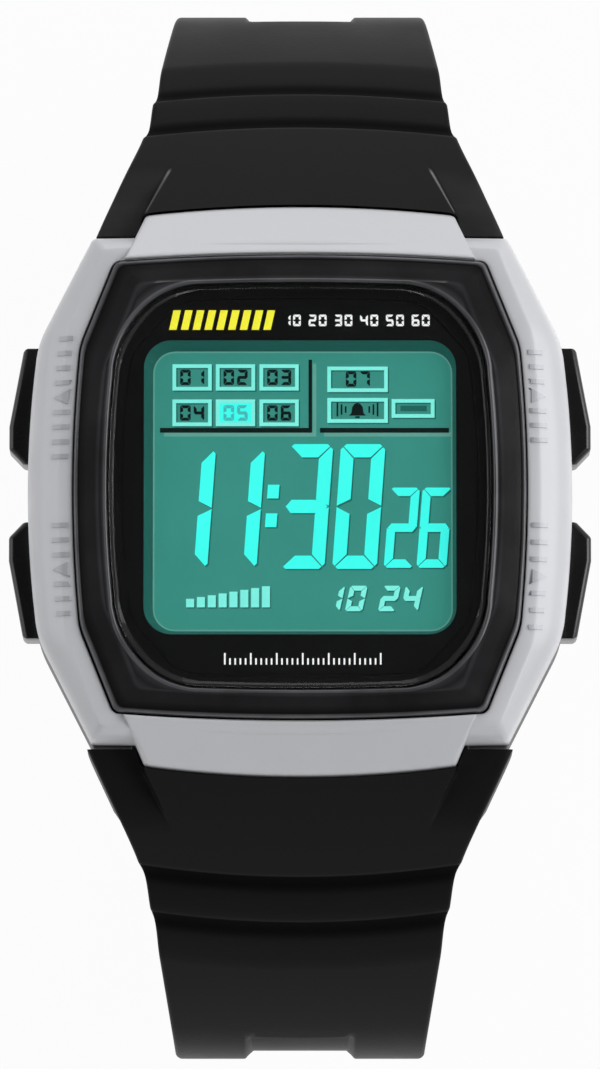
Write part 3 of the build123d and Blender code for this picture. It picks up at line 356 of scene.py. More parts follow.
# %% [markdown]
# The table is white paper, and it lies a little below the watch, so that the strap's tail has room
# to swing. Paper that is lit only as much as the watch looks grey, and more light would bleach the
# watch. So a white glow is added for the rays that look at the paper, which are those from the
# camera and those that metal and glass send on. A small share of the plain paper stays in the mix,
# and it shows the watch's soft shadow.

# %% Floor
glow_share = 0.96


def floor_finish():
    """White paper: it is lit like paper, and part of its white is only for rays that look at it."""
    material = bpy.data.materials.new("paper_floor")
    material.use_nodes = True
    tree = material.node_tree
    tree.nodes.clear()
    paper = node(tree, "ShaderNodeBsdfDiffuse", Color=(0.6, 0.6, 0.6, 1))
    bright = node(tree, "ShaderNodeEmission", Color=(1, 1, 1, 1), Strength=1.0)
    rays = node(tree, "ShaderNodeLightPath").outputs
    seen = combined(tree, "MAXIMUM", rays["Is Camera Ray"], rays["Is Transmission Ray"])
    seen = combined(tree, "MAXIMUM", seen, rays["Is Glossy Ray"])
    mix = node(tree, "ShaderNodeMixShader", Fac=combined(tree, "MULTIPLY", seen, glow_share))
    feed(tree, paper.outputs[0], mix.inputs[1])
    feed(tree, bright.outputs[0], mix.inputs[2])
    node(tree, "ShaderNodeOutputMaterial", Surface=mix.outputs[0])
    return material


floor_half = 1.6
floor_level = -6 * mm
floor_corners = np.array([(-1, -1), (1, -1), (1, 1), (-1, 1)]) * floor_half
floor_mesh = bpy.data.meshes.new("floor")
floor_mesh.from_pydata([(x, y, floor_level) for x, y in floor_corners.tolist()], [], [(0, 1, 2, 3)])
floor_mesh.materials.append(floor_finish())
floor = bpy.data.objects.new("floor", floor_mesh)
bpy.context.scene.collection.objects.link(floor)
print("floor at", round(floor_level / mm, 1), "mm")

# %% [markdown]
# The world is what surrounds the scene, and metal and glass mirror it. A plain white world would
# lay a grey veil over the flat lens, so its ceiling is dark overhead and brighter towards the
# sides. The camera itself sees plain white, and mirrors and glass see a white backdrop round the
# horizon.

# %% World
def studio_world():
    """A ceiling that darkens upward, and a white backdrop round the horizon for what mirrors it."""
    world = bpy.data.worlds.new("studio")
    world.use_nodes = True
    tree = world.node_tree
    tree.nodes.clear()
    direction = node(tree, "ShaderNodeTexCoord")
    upward = node(tree, "ShaderNodeSeparateXYZ", Vector=direction.outputs["Generated"]).outputs["Z"]
    rays = node(tree, "ShaderNodeLightPath").outputs
    ceiling = ramp(tree, upward, below=0.45, above=0.03, low=0.15, high=0.96)
    backdrop = ramp(tree, upward, below=1.0, above=0.0, low=0.1, high=0.35)
    mirrored = combined(tree, "MAXIMUM", rays["Is Glossy Ray"], rays["Is Transmission Ray"])
    around = combined(tree, "MAXIMUM", ceiling, combined(tree, "MULTIPLY", backdrop, mirrored))
    seen = combined(tree, "MAXIMUM", rays["Is Camera Ray"], around)
    background = node(tree, "ShaderNodeBackground", Color=(1, 1, 1, 1), Strength=seen)
    node(tree, "ShaderNodeOutputWorld", Surface=background.outputs[0])
    return world


bpy.context.scene.world = studio_world()
bpy.context.scene.view_settings.view_transform = "Standard"
print("world:", bpy.context.scene.world.name, "view:", bpy.context.scene.view_settings.view_transform)

# %% [markdown]
# Moulded plastic, paint and steel all have a fine grain, and they are never equally shiny all over.
# That unevenness is one node group, placed in every finish with its own scale. It measures the
# pattern in the object's own coordinates, so it stays on the piece when a button or a strap moves.

# %% Shader group for grain
def shader_group(name, inputs, outputs):
    """A node group with named sockets, the sockets that it is given, and the node for its results."""
    group = bpy.data.node_groups.new(name, "ShaderNodeTree")
    for in_out, sockets in (("INPUT", inputs), ("OUTPUT", outputs)):
        for socket_name, kind in sockets.items():
            group.interface.new_socket(socket_name, in_out=in_out, socket_type=f"NodeSocket{kind}")
    return group, group.nodes.new("NodeGroupInput").outputs, group.nodes.new("NodeGroupOutput")


def grain_group():
    """Noise at two scales: Height is fine and feeds a bump, Patches is broad and feeds the colour."""
    group, given, result = shader_group("grain", {"Scale": "Float", "Stretch": "Vector"},
                                        {"Height": "Float", "Patches": "Float"})
    place = group.nodes.new("ShaderNodeTexCoord").outputs["Object"]
    stretched = group.nodes.new("ShaderNodeVectorMath")
    stretched.operation = "MULTIPLY"
    feed(group, place, stretched.inputs[0])
    feed(group, given["Stretch"], stretched.inputs[1])
    fine = node(group, "ShaderNodeTexNoise", Vector=stretched.outputs[0], Scale=given["Scale"],
                Detail=3.0, Roughness=0.6)
    broad = node(group, "ShaderNodeTexNoise", Vector=place, Scale=160.0, Detail=4.0, Roughness=0.55)
    feed(group, fine.outputs["Fac"], result.inputs["Height"])
    feed(group, broad.outputs["Fac"], result.inputs["Patches"])
    return group


grain = grain_group()
print("outputs of the group:", [socket.name for socket in grain.interface.items_tree
                                if socket.in_out == "OUTPUT"])

# %% [markdown]
# A second group paints a highlight on marked edges and paints shade in crevices. Where those are is
# stored on the mesh's points, which gives sharper marks than guessing them from the shape while
# rendering. The painted highlight is uneven, so the broad patches of the grain come into it too.

# %% Shader group for painted edge highlights and painted crevice shade
def edge_group():
    """Base colour with a painted highlight on marked edges and painted shade in crevices; the second output
    is 1 deep in a crevice.
    """
    group, given, result = shader_group("edge_highlight_crevice_shade", {"Base": "Color", "Edge": "Color", "Patches": "Float"},
                                        {"Color": "Color", "Shaded": "Float"})
    marks = []
    for name in ("edge", "crevice"):
        mark = group.nodes.new("ShaderNodeAttribute")
        mark.attribute_name = name
        marks.append(mark.outputs["Fac"])
    edge, crevice = marks
    uneven = combined(group, "MULTIPLY_ADD", given["Patches"], 1.2, -0.1)
    # Painted highlight: marked edges turn towards the edge colour.
    lighter = mixed(group, combined(group, "MULTIPLY", edge, uneven), given["Base"], given["Edge"])
    # Painted shade: deep in a crevice the colour goes nearly black.
    nearly_black = (0.0003, 0.0003, 0.0003, 1)
    feed(group, mixed(group, crevice, lighter, nearly_black), result.inputs["Color"])
    feed(group, crevice, result.inputs["Shaded"])
    return group


def placed(tree, group, **inputs):
    """Places a shader group in a material, with its inputs fed, and hands back its outputs."""
    made = node(tree, "ShaderNodeGroup")
    made.node_tree = group
    for name, value in inputs.items():
        feed(tree, value, made.inputs[name])
    return made.outputs


# The group for painted edge highlights and painted crevice shade.
edge_highlight_crevice_shade = edge_group()
print("shader groups:", [group.name for group in bpy.data.node_groups])

# %% [markdown]
# One function lays out a finish: a base colour that shifts a little in broad patches, a roughness
# that shifts with it, and a bump as deep as the real grain. What is the same all over the surface,
# such as how metallic it is or its clear coat, is set on the shader's own sockets.

# %% How a finish is made
def linear(red, green, blue):
    """A colour as it is seen on a screen, 0 to 255, as the linear values that a shader takes."""
    seen = np.array([red, green, blue]) / 255
    values = np.where(seen <= 0.04045, seen / 12.92, ((seen + 0.055) / 1.055) ** 2.4)
    return (*values.tolist(), 1.0)


def scaled(colour, factor):
    """A colour times a factor, and as opaque as before."""
    return (*[part * factor for part in colour[:3]], 1)


def new_finish(name):
    """A new material, with its node tree and its Principled shader."""
    material = bpy.data.materials.new(name)
    material.use_nodes = True
    return material, material.node_tree, material.node_tree.nodes["Principled BSDF"]


def finish(name, colour, rough, metal=0.0, scale=2500.0, depth=0.004 * mm, stretch=(1, 1, 1),
           edge=None, coat=0.0, rough_shift=0.08, tint_shift=0.12, gloss=0.5):
    """A material of one substance; depth is the height of its grain in metres; edge is the painted
    highlight's colour.
    """
    material, tree, shader = new_finish(name)
    shader.inputs["Metallic"].default_value = metal
    shader.inputs["Specular IOR Level"].default_value = gloss
    shader.inputs["Coat Weight"].default_value = coat
    shader.inputs["Coat Roughness"].default_value = 0.05
    pattern = placed(tree, grain, Scale=scale, Stretch=stretch)
    base = mixed(tree, pattern["Patches"], scaled(colour, 1 - tint_shift), scaled(colour, 1 + tint_shift))
    # Painted highlight on marked edges and painted shade in crevices, from the edge group.
    edge_light_and_shade = placed(tree, edge_highlight_crevice_shade, Base=base, Edge=edge or colour, Patches=pattern["Patches"])
    feed(tree, edge_light_and_shade["Color"], shader.inputs["Base Color"])
    sheen = ramp(tree, pattern["Patches"], max(0.02, rough - rough_shift), min(1.0, rough + rough_shift))
    feed(tree, combined(tree, "MAXIMUM", sheen, edge_light_and_shade["Shaded"]), shader.inputs["Roughness"])
    relief = node(tree, "ShaderNodeBump", Height=pattern["Height"], Distance=depth)
    feed(tree, relief.outputs[0], shader.inputs["Normal"])
    return material


print("mid grey as a shader takes it:", round(linear(128, 128, 128)[0], 3))

# %% [markdown]
# Now the finishes of the watch. Each one needs only what makes it differ: colour, roughness, how
# metallic it is and how deep its grain lies. The resins are the same black to the eye, and what
# tells them apart is their gloss: the bezel is glossy, the strap almost dull.

# %% Finishes of the watch
# An edge colour is a painted highlight, shown only on points that a piece marks as edges.
silver = finish("silver_paint", linear(214, 215, 219), 0.46, metal=0.12, scale=9000, depth=0.0012 * mm,
                edge=linear(250, 250, 253), tint_shift=0.04)
silver_mark = finish("silver_mark", linear(184, 186, 191), 0.44, metal=0.3, scale=9000, depth=0.0012 * mm)
bezel_black = finish("bezel_gloss_black", linear(18, 18, 19), 0.22, depth=0.001 * mm, scale=4000,
                     edge=linear(130, 130, 136), coat=0.2, gloss=0.4)
case_black = finish("case_resin_black", linear(18, 18, 19), 0.42, depth=0.006 * mm,
                    edge=linear(60, 60, 62), gloss=0.35)
button_black = finish("button_resin_black", linear(20, 20, 21), 0.27, depth=0.003 * mm,
                      edge=linear(64, 64, 66), gloss=0.6)
strap_black = finish("strap_resin_black", linear(25, 25, 25), 0.42, scale=3800, depth=0.010 * mm,
                     edge=linear(150, 150, 152), rough_shift=0.10, gloss=0.08)
mask_black = finish("printed_card_black", linear(5, 5, 6), 0.35, scale=6000, depth=0.001 * mm, gloss=0.2)
steel = finish("polished_steel", linear(200, 198, 194), 0.22, metal=1.0, scale=3000, depth=0.001 * mm)
brushed = finish("brushed_steel", linear(188, 186, 182), 0.34, metal=1.0, scale=2600, depth=0.003 * mm,
                 stretch=(0.05, 1, 1))
brass = finish("buzzer_brass", linear(196, 158, 84), 0.30, metal=1.0, scale=2500)
gold_contact = finish("contact_plate", linear(206, 180, 120), 0.28, metal=1.0, scale=2500)
rubber = finish("seal_rubber", linear(30, 30, 30), 0.7, scale=2500, depth=0.01 * mm)
module_white = finish("module_plastic", linear(205, 203, 196), 0.5, scale=2000)
board_green = finish("circuit_green", linear(34, 92, 58), 0.4, scale=2000)
chip_black = finish("chip_epoxy", linear(20, 20, 22), 0.3, scale=1500, depth=0.01 * mm)
ceramic = finish("capacitor_ceramic", linear(176, 150, 118), 0.45, scale=2500)
film_amber = finish("insulator_film", linear(186, 142, 60), 0.3, scale=2500)
panel_white = finish("light_guide", linear(228, 232, 230), 0.4, scale=2000)
print("materials with those of the frame:", len(bpy.data.materials))

# %% [markdown]
# The cover is the silver shell. Its rails slope down beside the bezel, and its outer edge is
# rounded, where the paint catches the light. A block with bevelled edges could stand for it, but
# its slope would be as wide everywhere, while the real one fills the gap between two different
# outlines. So the rails are one band: a bent section is drawn between the case outline and the
# bezel outline, and each of its points becomes a ring.

# %% Rails of the cover
rail_flat = 0.9 * mm
rail_wall = 1.5 * mm
cover_foot = 5.62


def between(outer, inner, share):
    """The outline that lies a share of the way from the outer one to the inner one."""
    return outer * (1 - share) + inner * share


# Each corner is a share of the way inward and a height. The slope ends at 1, and the flat past it.
flat_share = 0.28
section = rounded_steps([(0.0, cover_foot), (0.0, 7.25), (0.5, 8.22), (1.0, 8.74), (1 + flat_share, 8.82),
                         (1 + flat_share, 7.9)], [0.5, 0.3, 0.12, 0.10], steps=7)
rings = []
for share, level in section:
    if share <= 1:
        rings.append((between(case_ring(0), bezel_ring(-rail_flat), share), height(level)))
    else:
        reach = (share - 1) / flat_share
        rings.append((bezel_ring(-rail_flat * (1 - reach)), height(level)))
rings += [(case_ring(rail_wall), height(7.7)), (case_ring(rail_wall), height(cover_foot))]
rails = ring_stack("cover_rails", rings, crease=50)
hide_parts("bezel_cover")
paint(rails, silver)
print("rail rings:", len(rings), "triangles:", 2 * len(rings) * outline_points)

# %% [markdown]
# A hood covers each strap end. Seen from above it is a band between the bezel and a bowed front
# edge, and it slopes down towards the strap. It could be cut from the shell with a Boolean, which
# leaves thin triangles along every cut. Here it is a stack of outlines, each a little further in.
# The top is one slanted plane, so the last outline can be closed by a single flat face.

# %% Hoods of the cover
hood_corner = np.array([11.15, 20.1]) * mm
hood_front_crown, hood_rear_crown = 0.7 * mm, 0.45 * mm
hood_side_lean = 0.41
hood_top_inner, hood_top_outer = 9.5, 6.8
hood_drop = (hood_top_inner - hood_top_outer) * mm / (hood_corner[1] + hood_front_crown - bezel_end)
# The rounded edge of the hood's top: how far in and how far below the top, in millimetres.
hood_edge = [(0.0, 0.34), (0.03, 0.18), (0.10, 0.07), (0.20, 0.012), (0.34, 0.0), (0.5, 0.0)]


def hood_plan(inset):
    """The hood seen from above: bowed front, rounded corners, leaning sides and the bezel's edge."""
    corner = hood_corner - np.array([inset, inset])
    turn = 0.3 * mm
    across = np.linspace(corner[0] - turn, -corner[0] + turn, 48)
    front = np.stack([across, corner[1] + hood_front_crown * (1 - (across / corner[0]) ** 2)], 1)
    rear_x = hood_corner[0] + hood_side_lean * (hood_corner[1] - bezel_end) - inset
    rear_y = bezel_end + play + inset
    t = np.linspace(0, 1, 9)[:, None]
    side = corner + np.array([hood_side_lean * turn, -turn])
    right = (1 - t) ** 2 * side + 2 * t * (1 - t) * corner + t ** 2 * front[0]
    left = right[::-1] * np.array([-1, 1])
    rear_across = np.linspace(-rear_x, rear_x, 48)
    rear = np.stack([rear_across, rear_y + hood_rear_crown * (1 - (rear_across / rear_x) ** 2)], 1)
    return np.concatenate([right[:-1], front, left[1:], rear])


def hood_level(plan):
    """Height of the hood's slanted top over a plan point."""
    return height(hood_top_inner) - hood_drop * (plan[:, 1] - bezel_end)


def hood_piece(name, side):
    """A closed hood at twelve (side 1) or six o'clock (side -1)."""
    foot = hood_plan(0)
    rows = [np.column_stack([foot, np.full(len(foot), height(cover_foot))])]
    for inset, drop in hood_edge:
        plan = hood_plan(inset * mm)
        rows.append(np.column_stack([plan, hood_level(plan) - drop * mm]))
    points = np.stack(rows) * np.array([1, side, 1])
    faces = [face[::side] for face in capped_faces(len(rows), len(foot))]
    return new_piece(name, points, faces, crease=35)


for hood_name, side in (("upper_hood", 1), ("lower_hood", -1)):
    hood = hood_piece(hood_name, side)
    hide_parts("bezel_cover")
    paint(hood, silver)
print("hood points:", len(hood_plan(0)))

# %% [markdown]
# The bezel is the glossy black frame round the lens: a narrow rounded lip that catches the light, a
# broad band that rises slightly inward, and a step down to the lens. Gloss shows every turn of a
# surface, so the section is drawn point by point, close together where it turns, rather than left
# to a bevel. Each ring also says how strong a painted highlight its edge gets.

# %% Bezel
# Each entry is an inset, a height and how strong the painted highlight is there, from 0 to 1.
bezel_section = [(0.10, 7.75, 0), (0.10, 9.00, 0), (0.12, 9.10, 0.3), (0.18, 9.18, 1.0), (0.27, 9.22, 0.9),
                 (0.34, 9.20, 0.3), (0.42, 9.17, 0), (0.50, 9.19, 0), (1.00, 9.29, 0.1), (1.60, 9.40, 0.1),
                 (1.80, 9.44, 0.3)]
lens_step = [(-0.34, 9.45, 0.3), (-0.27, 9.50, 0.9), (-0.15, 9.50, 0.6), (-0.03, 9.36, 0), (-0.01, 8.3, 0),
             (-0.01, 7.75, 0)]
halfway = between(bezel_ring(bezel_section[-1][0] * mm), lens_ring(lens_step[0][0] * mm), 0.5)
rings = [(bezel_ring(inset * mm), height(level)) for inset, level, _ in bezel_section]
rings.append((halfway, height(9.445)))
rings += [(lens_ring(inset * mm), height(level)) for inset, level, _ in lens_step]
bezel = ring_stack("bezel_frame", rings, crease=50)
# How strong the painted highlight is on each ring.
bezel_highlight_values = [edge for *_, edge in bezel_section] + [0.1] + [edge for *_, edge in lens_step]


def mark_points(piece, values, name="edge"):
    """Stores how strong a painted highlight or painted shade is at each point, 0 to 1, for the shader."""
    attribute = piece.data.attributes.new(name, "FLOAT", "POINT")
    attribute.data.foreach_set("value", np.asarray(values, np.float32).ravel())


mark_points(bezel, np.repeat(bezel_highlight_values, outline_points))
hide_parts("bezel_ring")
paint(bezel, bezel_black)
print("bezel rings:", len(rings))

# %% [markdown]
# The rails' rounded outer edge gets the same painted highlight, strongest where the section turns.

# %% Painted highlight on the rails' edge
# How strong the painted highlight is on the rings of the rounded outer edge.
rail_highlight = np.zeros((len(rails.data.vertices) // outline_points, outline_points))
rail_highlight[1:8] = np.array([0.3, 0.7, 1.0, 1.0, 0.8, 0.5, 0.2])[:, None]
mark_points(rails, rail_highlight)
print("rings with a bright edge:", int((rail_highlight[:, 0] > 0).sum()))

# %% [markdown]
# The lens is a flat sheet of clear acrylic with a polished bevel. Light has to fall through it on
# the dial, and a path tracer finds that slowly through glass, so for shadow rays alone the lens
# counts as plain transparent.

# %% Lens
def clear_lens_finish():
    """Clear acrylic: a glass shader, transparent to the rays that ask what is in shadow."""
    material, tree, shader = new_finish("clear_acrylic")
    shader.inputs["Transmission Weight"].default_value = 1.0
    shader.inputs["IOR"].default_value = 1.49
    shader.inputs["Metallic"].default_value = 0.0
    pattern = placed(tree, grain, Scale=1500.0, Stretch=(1, 1, 1))
    feed(tree, ramp(tree, pattern["Patches"], below=0.0, above=0.03), shader.inputs["Roughness"])
    tint = mixed(tree, pattern["Patches"], (0.96, 0.98, 0.98, 1), (1.0, 1.0, 1.0, 1))
    feed(tree, tint, shader.inputs["Base Color"])
    open_air = node(tree, "ShaderNodeBsdfTransparent", Color=(0.95, 0.97, 0.97, 1))
    rays = node(tree, "ShaderNodeLightPath")
    mix = node(tree, "ShaderNodeMixShader", Fac=rays.outputs["Is Shadow Ray"])
    feed(tree, shader.outputs[0], mix.inputs[1])
    feed(tree, open_air.outputs[0], mix.inputs[2])
    feed(tree, mix.outputs[0], tree.nodes["Material Output"].inputs[0])
    return material


# Each row is an inset and a height: a straight side, then the polished bevel.
lens_section = [(0.10, 8.26), (0.10, 9.24), (0.12, 9.28), (0.34, 9.50), (0.40, 9.55)]
lens_points = ring_points([(lens_ring(inset * mm), height(level)) for inset, level in lens_section])
lens = new_piece("lens_window", lens_points, capped_faces(len(lens_section), outline_points), crease=12)
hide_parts("lens")
paint(lens, clear_lens_finish())
print("lens points:", len(lens.data.vertices))

# %% [markdown]
# Each strap half is one moulding of soft resin. It could be a flat strip that a curve bends, but its
# head has a form of its own that such a bend would spoil. Seen from the side its outer skin is a
# line of three arcs and a straight run, so a place on the strap is a distance along that line and a
# place across it. Everything else, such as the width, the lowered wings and the grooves, is a
# function of those two.

# %% Line of the strap's outer skin
upper_radius, knee_radius = 47.5 * mm, 13.2 * mm
start_angle, lip_angle, knee_angle = (math.radians(v) for v in (28.3, 32.0, 60.0))
lip_y = 21.3 * mm


def upright(angle):
    """The direction that is turned from straight up towards the strap's end by an angle, as y and z."""
    return np.array([math.sin(angle), math.cos(angle)])


upper_centre = np.array([lip_y, height(6.6)]) - upper_radius * upright(lip_angle)
knee_centre = upper_centre + (upper_radius - knee_radius) * upright(knee_angle)
horizon_y = knee_centre[0] + knee_radius
upper_length = upper_radius * (knee_angle - start_angle)
knee_length = knee_radius * (math.pi / 2 - knee_angle)
strap_thick = 2.5 * mm
print("strap turns down at y =", round(horizon_y / mm, 2), "mm")


def skin(distance, bend_radius, sweep):
    """The outer skin at a distance from the case: y, z and the angle its normal turns from upright.

    On an arc the angle grows by distance over radius, and the point is the centre plus the radius
    times the sine and cosine of the angle. The straight run goes on along the last tangent.
    """
    bend_length = bend_radius * sweep
    past_upper = distance - upper_length
    past_knee = past_upper - knee_length
    run = np.maximum(past_knee - bend_length, 0)

    def by_arc(upper, knee, bend):
        """Picks the value of the arc that each distance falls on."""
        return np.where(past_upper < 0, upper, np.where(past_knee < 0, knee, bend))

    angle = by_arc(start_angle + distance / upper_radius, knee_angle + past_upper / knee_radius,
                   math.pi / 2 + np.minimum(past_knee, bend_length) / bend_radius)
    centre_y = by_arc(upper_centre[0], knee_centre[0], horizon_y - bend_radius)
    centre_z = by_arc(upper_centre[1], knee_centre[1], knee_centre[1])
    radius = by_arc(upper_radius, knee_radius, bend_radius)
    y = centre_y + radius * np.sin(angle) + run * np.cos(angle)
    z = centre_z + radius * np.cos(angle) - run * np.sin(angle)
    return y, z, angle


# %% [markdown]
# The strap is widest at the lugs. Its outline narrows fast along the shoulder and slowly along the
# neck, and past the place where it turns down it tapers on towards its end. The half that hangs at
# six o'clock starts a little wider still.

# %% Width of the strap
shoulder_half, shoulder_y, shoulder_slope = 14.9 * mm, 18.4 * mm, 0.434
horizon_half, neck_slope = 9.2 * mm, 0.170
kink_round = 0.35 * mm
taper_share = 0.8
long_flare = 0.58 * mm


def step(value, low, high):
    """A smooth rise from 0 to 1 between low and high: three t squared less two t cubed."""
    t = np.clip((value - low) / (high - low), 0, 1)
    return t * t * (3 - 2 * t)


def plan_half(y, flare):
    """Half the width seen from above: two slopes, and the square root rounds the kink between them.

    Flare is how much wider the strap starts at the case; it fades out before the strap turns down.
    """
    shoulder = shoulder_half - (y - shoulder_y) * shoulder_slope
    neck = horizon_half + (horizon_y - y) * neck_slope
    both = (shoulder + neck + np.sqrt((shoulder - neck) ** 2 + kink_round ** 2)) / 2
    return both + flare * (1 - step(y, 17 * mm, 33 * mm))


def half_width(y, z, past_horizon, end_half, bend_radius, flare):
    """Half the width anywhere: past the horizon it goes evenly with depth to the end's half width."""
    share = np.clip((knee_centre[1] - z) / (taper_share * bend_radius), 0, 1)
    return np.where(past_horizon, horizon_half + (end_half - horizon_half) * share, plan_half(y, flare))


print("strap's half widths in mm:", [round(float(plan_half(y * mm, 0)) / mm, 2) for y in (20, 25, 30, 35)])

# %% [markdown]
# The head of the strap has a notch for the hood, an ear on each side of the lug, and two wings that
# lie lower than the middle panel. Instead of cutting these out, the surface's first row starts on the
# notch's own line, and the heights fall where the wings are. Columns are set closer where the notch
# and the channel have their walls.

# %% Columns of the strap and its notch
half_columns = np.concatenate([np.linspace(0, 0.44, 11), np.linspace(0.455, 0.515, 7),
                               np.linspace(0.53, 0.735, 8), np.linspace(0.742, 0.86, 30),
                               np.linspace(0.868, 1, 8)])
columns = np.concatenate([-half_columns[:0:-1], half_columns])
notch_middle, notch_crown = 20.92, 0.7
print("columns across the strap:", len(columns))


def notch_start(x):
    """Where the strap begins at a place across it: bowed round the hood, further back by the lug."""
    x = np.abs(x) / mm
    bowed = notch_middle - notch_crown * (x * mm / hood_corner[0]) ** 2
    beside = np.interp(x, [10.7, 11.12, 11.35, 11.9], [20.27, 20.18, 19.95, 18.72])
    return np.where(x < 10.7, bowed, beside) * mm


# %% [markdown]
# The details of the skin are heights: wings that lie lower than the middle panel, grooves across the
# shoulder and a shallow channel down the middle. A groove here is like the edge of a roof tile: a
# crisp wall on the case's side, and from its foot the skin climbs back gently.

# %% Relief of the strap
ear_y = 18.65 * mm
panel_start_y, panel_slant = 20.25 * mm, 0.50
wing_fade_y, wing_end_y, wing_top, wing_fall = 21.0 * mm, 24.7 * mm, 6.1, 0.075
groove_lines = [lip_y + 6.15 * mm, lip_y + 9.15 * mm]
groove_deep, groove_fall, groove_ramp, groove_bow = 0.62 * mm, 1.35 * mm, 1.9 * mm, 2.4 * mm
channel_half, channel_deep, channel_start = 3.78 * mm, 0.6 * mm, math.radians(68)
channel_ramp = 0.4 * mm


def panel_half(y):
    """Half the width of the raised middle panel: its edge slants inward from the hood's corner."""
    return hood_corner[0] - np.clip(y - panel_start_y, 0, None) * panel_slant


def wing_drop(x, y, z):
    """How far the wings lie below the skin: down to a parabola over the lug, fading out further on."""
    line = height(wing_top) - wing_fall / mm * (y - ear_y) ** 2
    beyond = step(np.abs(x), panel_half(y), panel_half(y) + 0.28 * mm)
    return np.clip(z - line, 0, None) * beyond * (1 - step(y, wing_fade_y, wing_end_y))


def past_groove(x, y, line):
    """How far a place lies past a groove's line, which bows towards the case by a parabola."""
    return y - (line - groove_bow * (x / half_case) ** 2)


def groove_share(x, y):
    """Depth of a groove, 0 to 1: a quarter sine down from its line, then a smooth step back up."""
    share = np.zeros_like(y)
    for line in groove_lines:
        past = past_groove(x, y, line)
        fall = np.sin(math.pi / 2 * np.clip(past / groove_fall, 0, 1))
        share = np.maximum(share, fall * (1 - step(past, groove_fall, groove_fall + groove_ramp)))
    return share


def channel_share(x, angle, distance, bend_end):
    """1 in the channel and 0 outside it, with a short ramp at both its ends."""
    inside = 1 - step(np.abs(x), channel_half - 0.3 * mm, channel_half + 0.34 * mm)
    begun = step(angle, channel_start, channel_start + math.radians(1.5))
    return inside * begun * (1 - step(distance, bend_end - channel_ramp, bend_end))


print("grooves at y =", [round(line / mm, 2) for line in groove_lines], "mm")

# %% [markdown]
# The strap ends in a head that fits round the case's lug. From the side, the middle of the head
# follows a round wall about the spring bar, and each ear goes straight down beside the lug to the
# heel on the underside. The ears' undersides are drawn in, so that they don't show past the
# outline seen from above.

# %% Profiles of the strap's head
edge_radius = 0.35 * mm
lug_side = 12.2 * mm
upper_turns = np.linspace(0, math.pi / 2, 5)[1:]
lower_turns = upper_turns[[3, 3, 2, 1]]
wall_shares = np.linspace(0, 1, 8)[1:-1]
heel = np.array([20.2 * mm, height(1.1)])
heel_angle = math.radians(42)
bar_line = np.array([20.2 * mm, height(3.4)])
lug_turn = np.radians([90, 75, 61, 45, 25, 0, -25, -45, -65, -90])
lug_face = bar_line + 2.3 * mm * np.stack([np.cos(lug_turn), np.sin(lug_turn)], 1)
ear_face = np.array([(ear_y, height(3.4)), (ear_y, height(1.7)), (19.3 * mm, height(1.28)), heel])
print("heel of the strap in mm:", np.round(heel / mm, 2))


def along_line(points, share):
    """The points at shares of a polyline's length."""
    length = np.concatenate([[0], np.cumsum(np.hypot(*np.diff(points, axis=0).T))])
    return np.stack([np.interp(share * length[-1], length, points[:, k]) for k in range(2)], 1)


def drawn_in(x, y, wide, flare):
    """A place across the strap, drawn in to the outline seen from above where that is narrower.

    Beyond the lug's side at s, x becomes s + (x - s) * (narrow - s) / (wide - s), and both widths
    are taken without the rounded edge.
    """
    least = 0.05 * mm
    narrow = np.minimum(wide, plan_half(y, flare)) - edge_radius
    ratio = np.maximum(narrow - lug_side, least) / np.maximum(wide - edge_radius - lug_side, least)
    beyond = np.abs(x) - lug_side
    return np.where(beyond > 0, np.sign(x) * (lug_side + beyond * np.minimum(ratio, 1)), x)


# %% [markdown]
# Next come the rows of the strap's surface. They lie closest near the head, where the skin has its
# details, and wider apart round the bend. Rows that are as close everywhere would show the grooves
# just as sharp, but the strap would need two to three times as many points.

# %% Places of the rows
head_length = 24 * mm
head_rows, body_rows, tail_rows, tail_crowding = 165, 74, 46, 1.25


def skin_distance(y):
    """The distance along the upper arc at which the skin reaches y: the arc's angle times its radius."""
    return (np.arcsin((y - upper_centre[0]) / upper_radius) - start_angle) * upper_radius


def row_places(bend_end, total):
    """Distances of the rows: even in the head, wider round the bend, and closer again at the tail."""
    head = np.linspace(0, head_length, head_rows)
    body = np.linspace(head_length, bend_end + channel_ramp, body_rows)[1:]
    share = 1 - (1 - np.linspace(0, 1, tail_rows)[1:]) ** tail_crowding
    tail = bend_end + channel_ramp + (total - bend_end - channel_ramp) * share
    return np.concatenate([head, body, tail])


print("rows of a strap:", head_rows + body_rows + tail_rows - 2)

# %% [markdown]
# The side of a strap is an upright wall between two small rounded edges. At the head it also bulges
# back round the ear, and that fades out over the first few rows. A bevel would round the edges too,
# but it would also cut into the crisp walls of the grooves.

# %% Sides of the strap
ear_fade_rows = 12


def side_rows(top, bottom, wide, flare):
    """The right side of each row without its ends: a round corner, a straight wall, a round corner."""
    thick = np.linalg.norm(bottom[:, 1:] - top[:, 1:], axis=1)[:, None]
    upper_depth = np.tile(edge_radius * (1 - np.cos(upper_turns)), (len(top), 1))
    wall_depth = edge_radius + (thick - 2 * edge_radius) * wall_shares
    lower_depth = thick - edge_radius * (1 - np.cos(lower_turns))
    depth = np.concatenate([upper_depth, wall_depth, lower_depth], axis=1)
    out = np.concatenate([np.sin(upper_turns), np.ones(len(wall_shares)), np.sin(lower_turns)])
    share = (depth / thick)[..., None]
    place = top[:, None, 1:] * (1 - share) + bottom[:, None, 1:] * share
    ear = np.concatenate([top[:1, 1:], ear_face])
    bulge = along_line(ear, share[0, :, 0]) - place[0]
    fade = np.clip(1 - np.arange(len(top)) / ear_fade_rows, 0, 1)[:, None, None]
    place = place + bulge * fade
    wide = wide[:, None]
    x = drawn_in(wide - edge_radius, place[..., 0], wide, flare) + edge_radius * out
    return np.concatenate([x[..., None], place], axis=2)


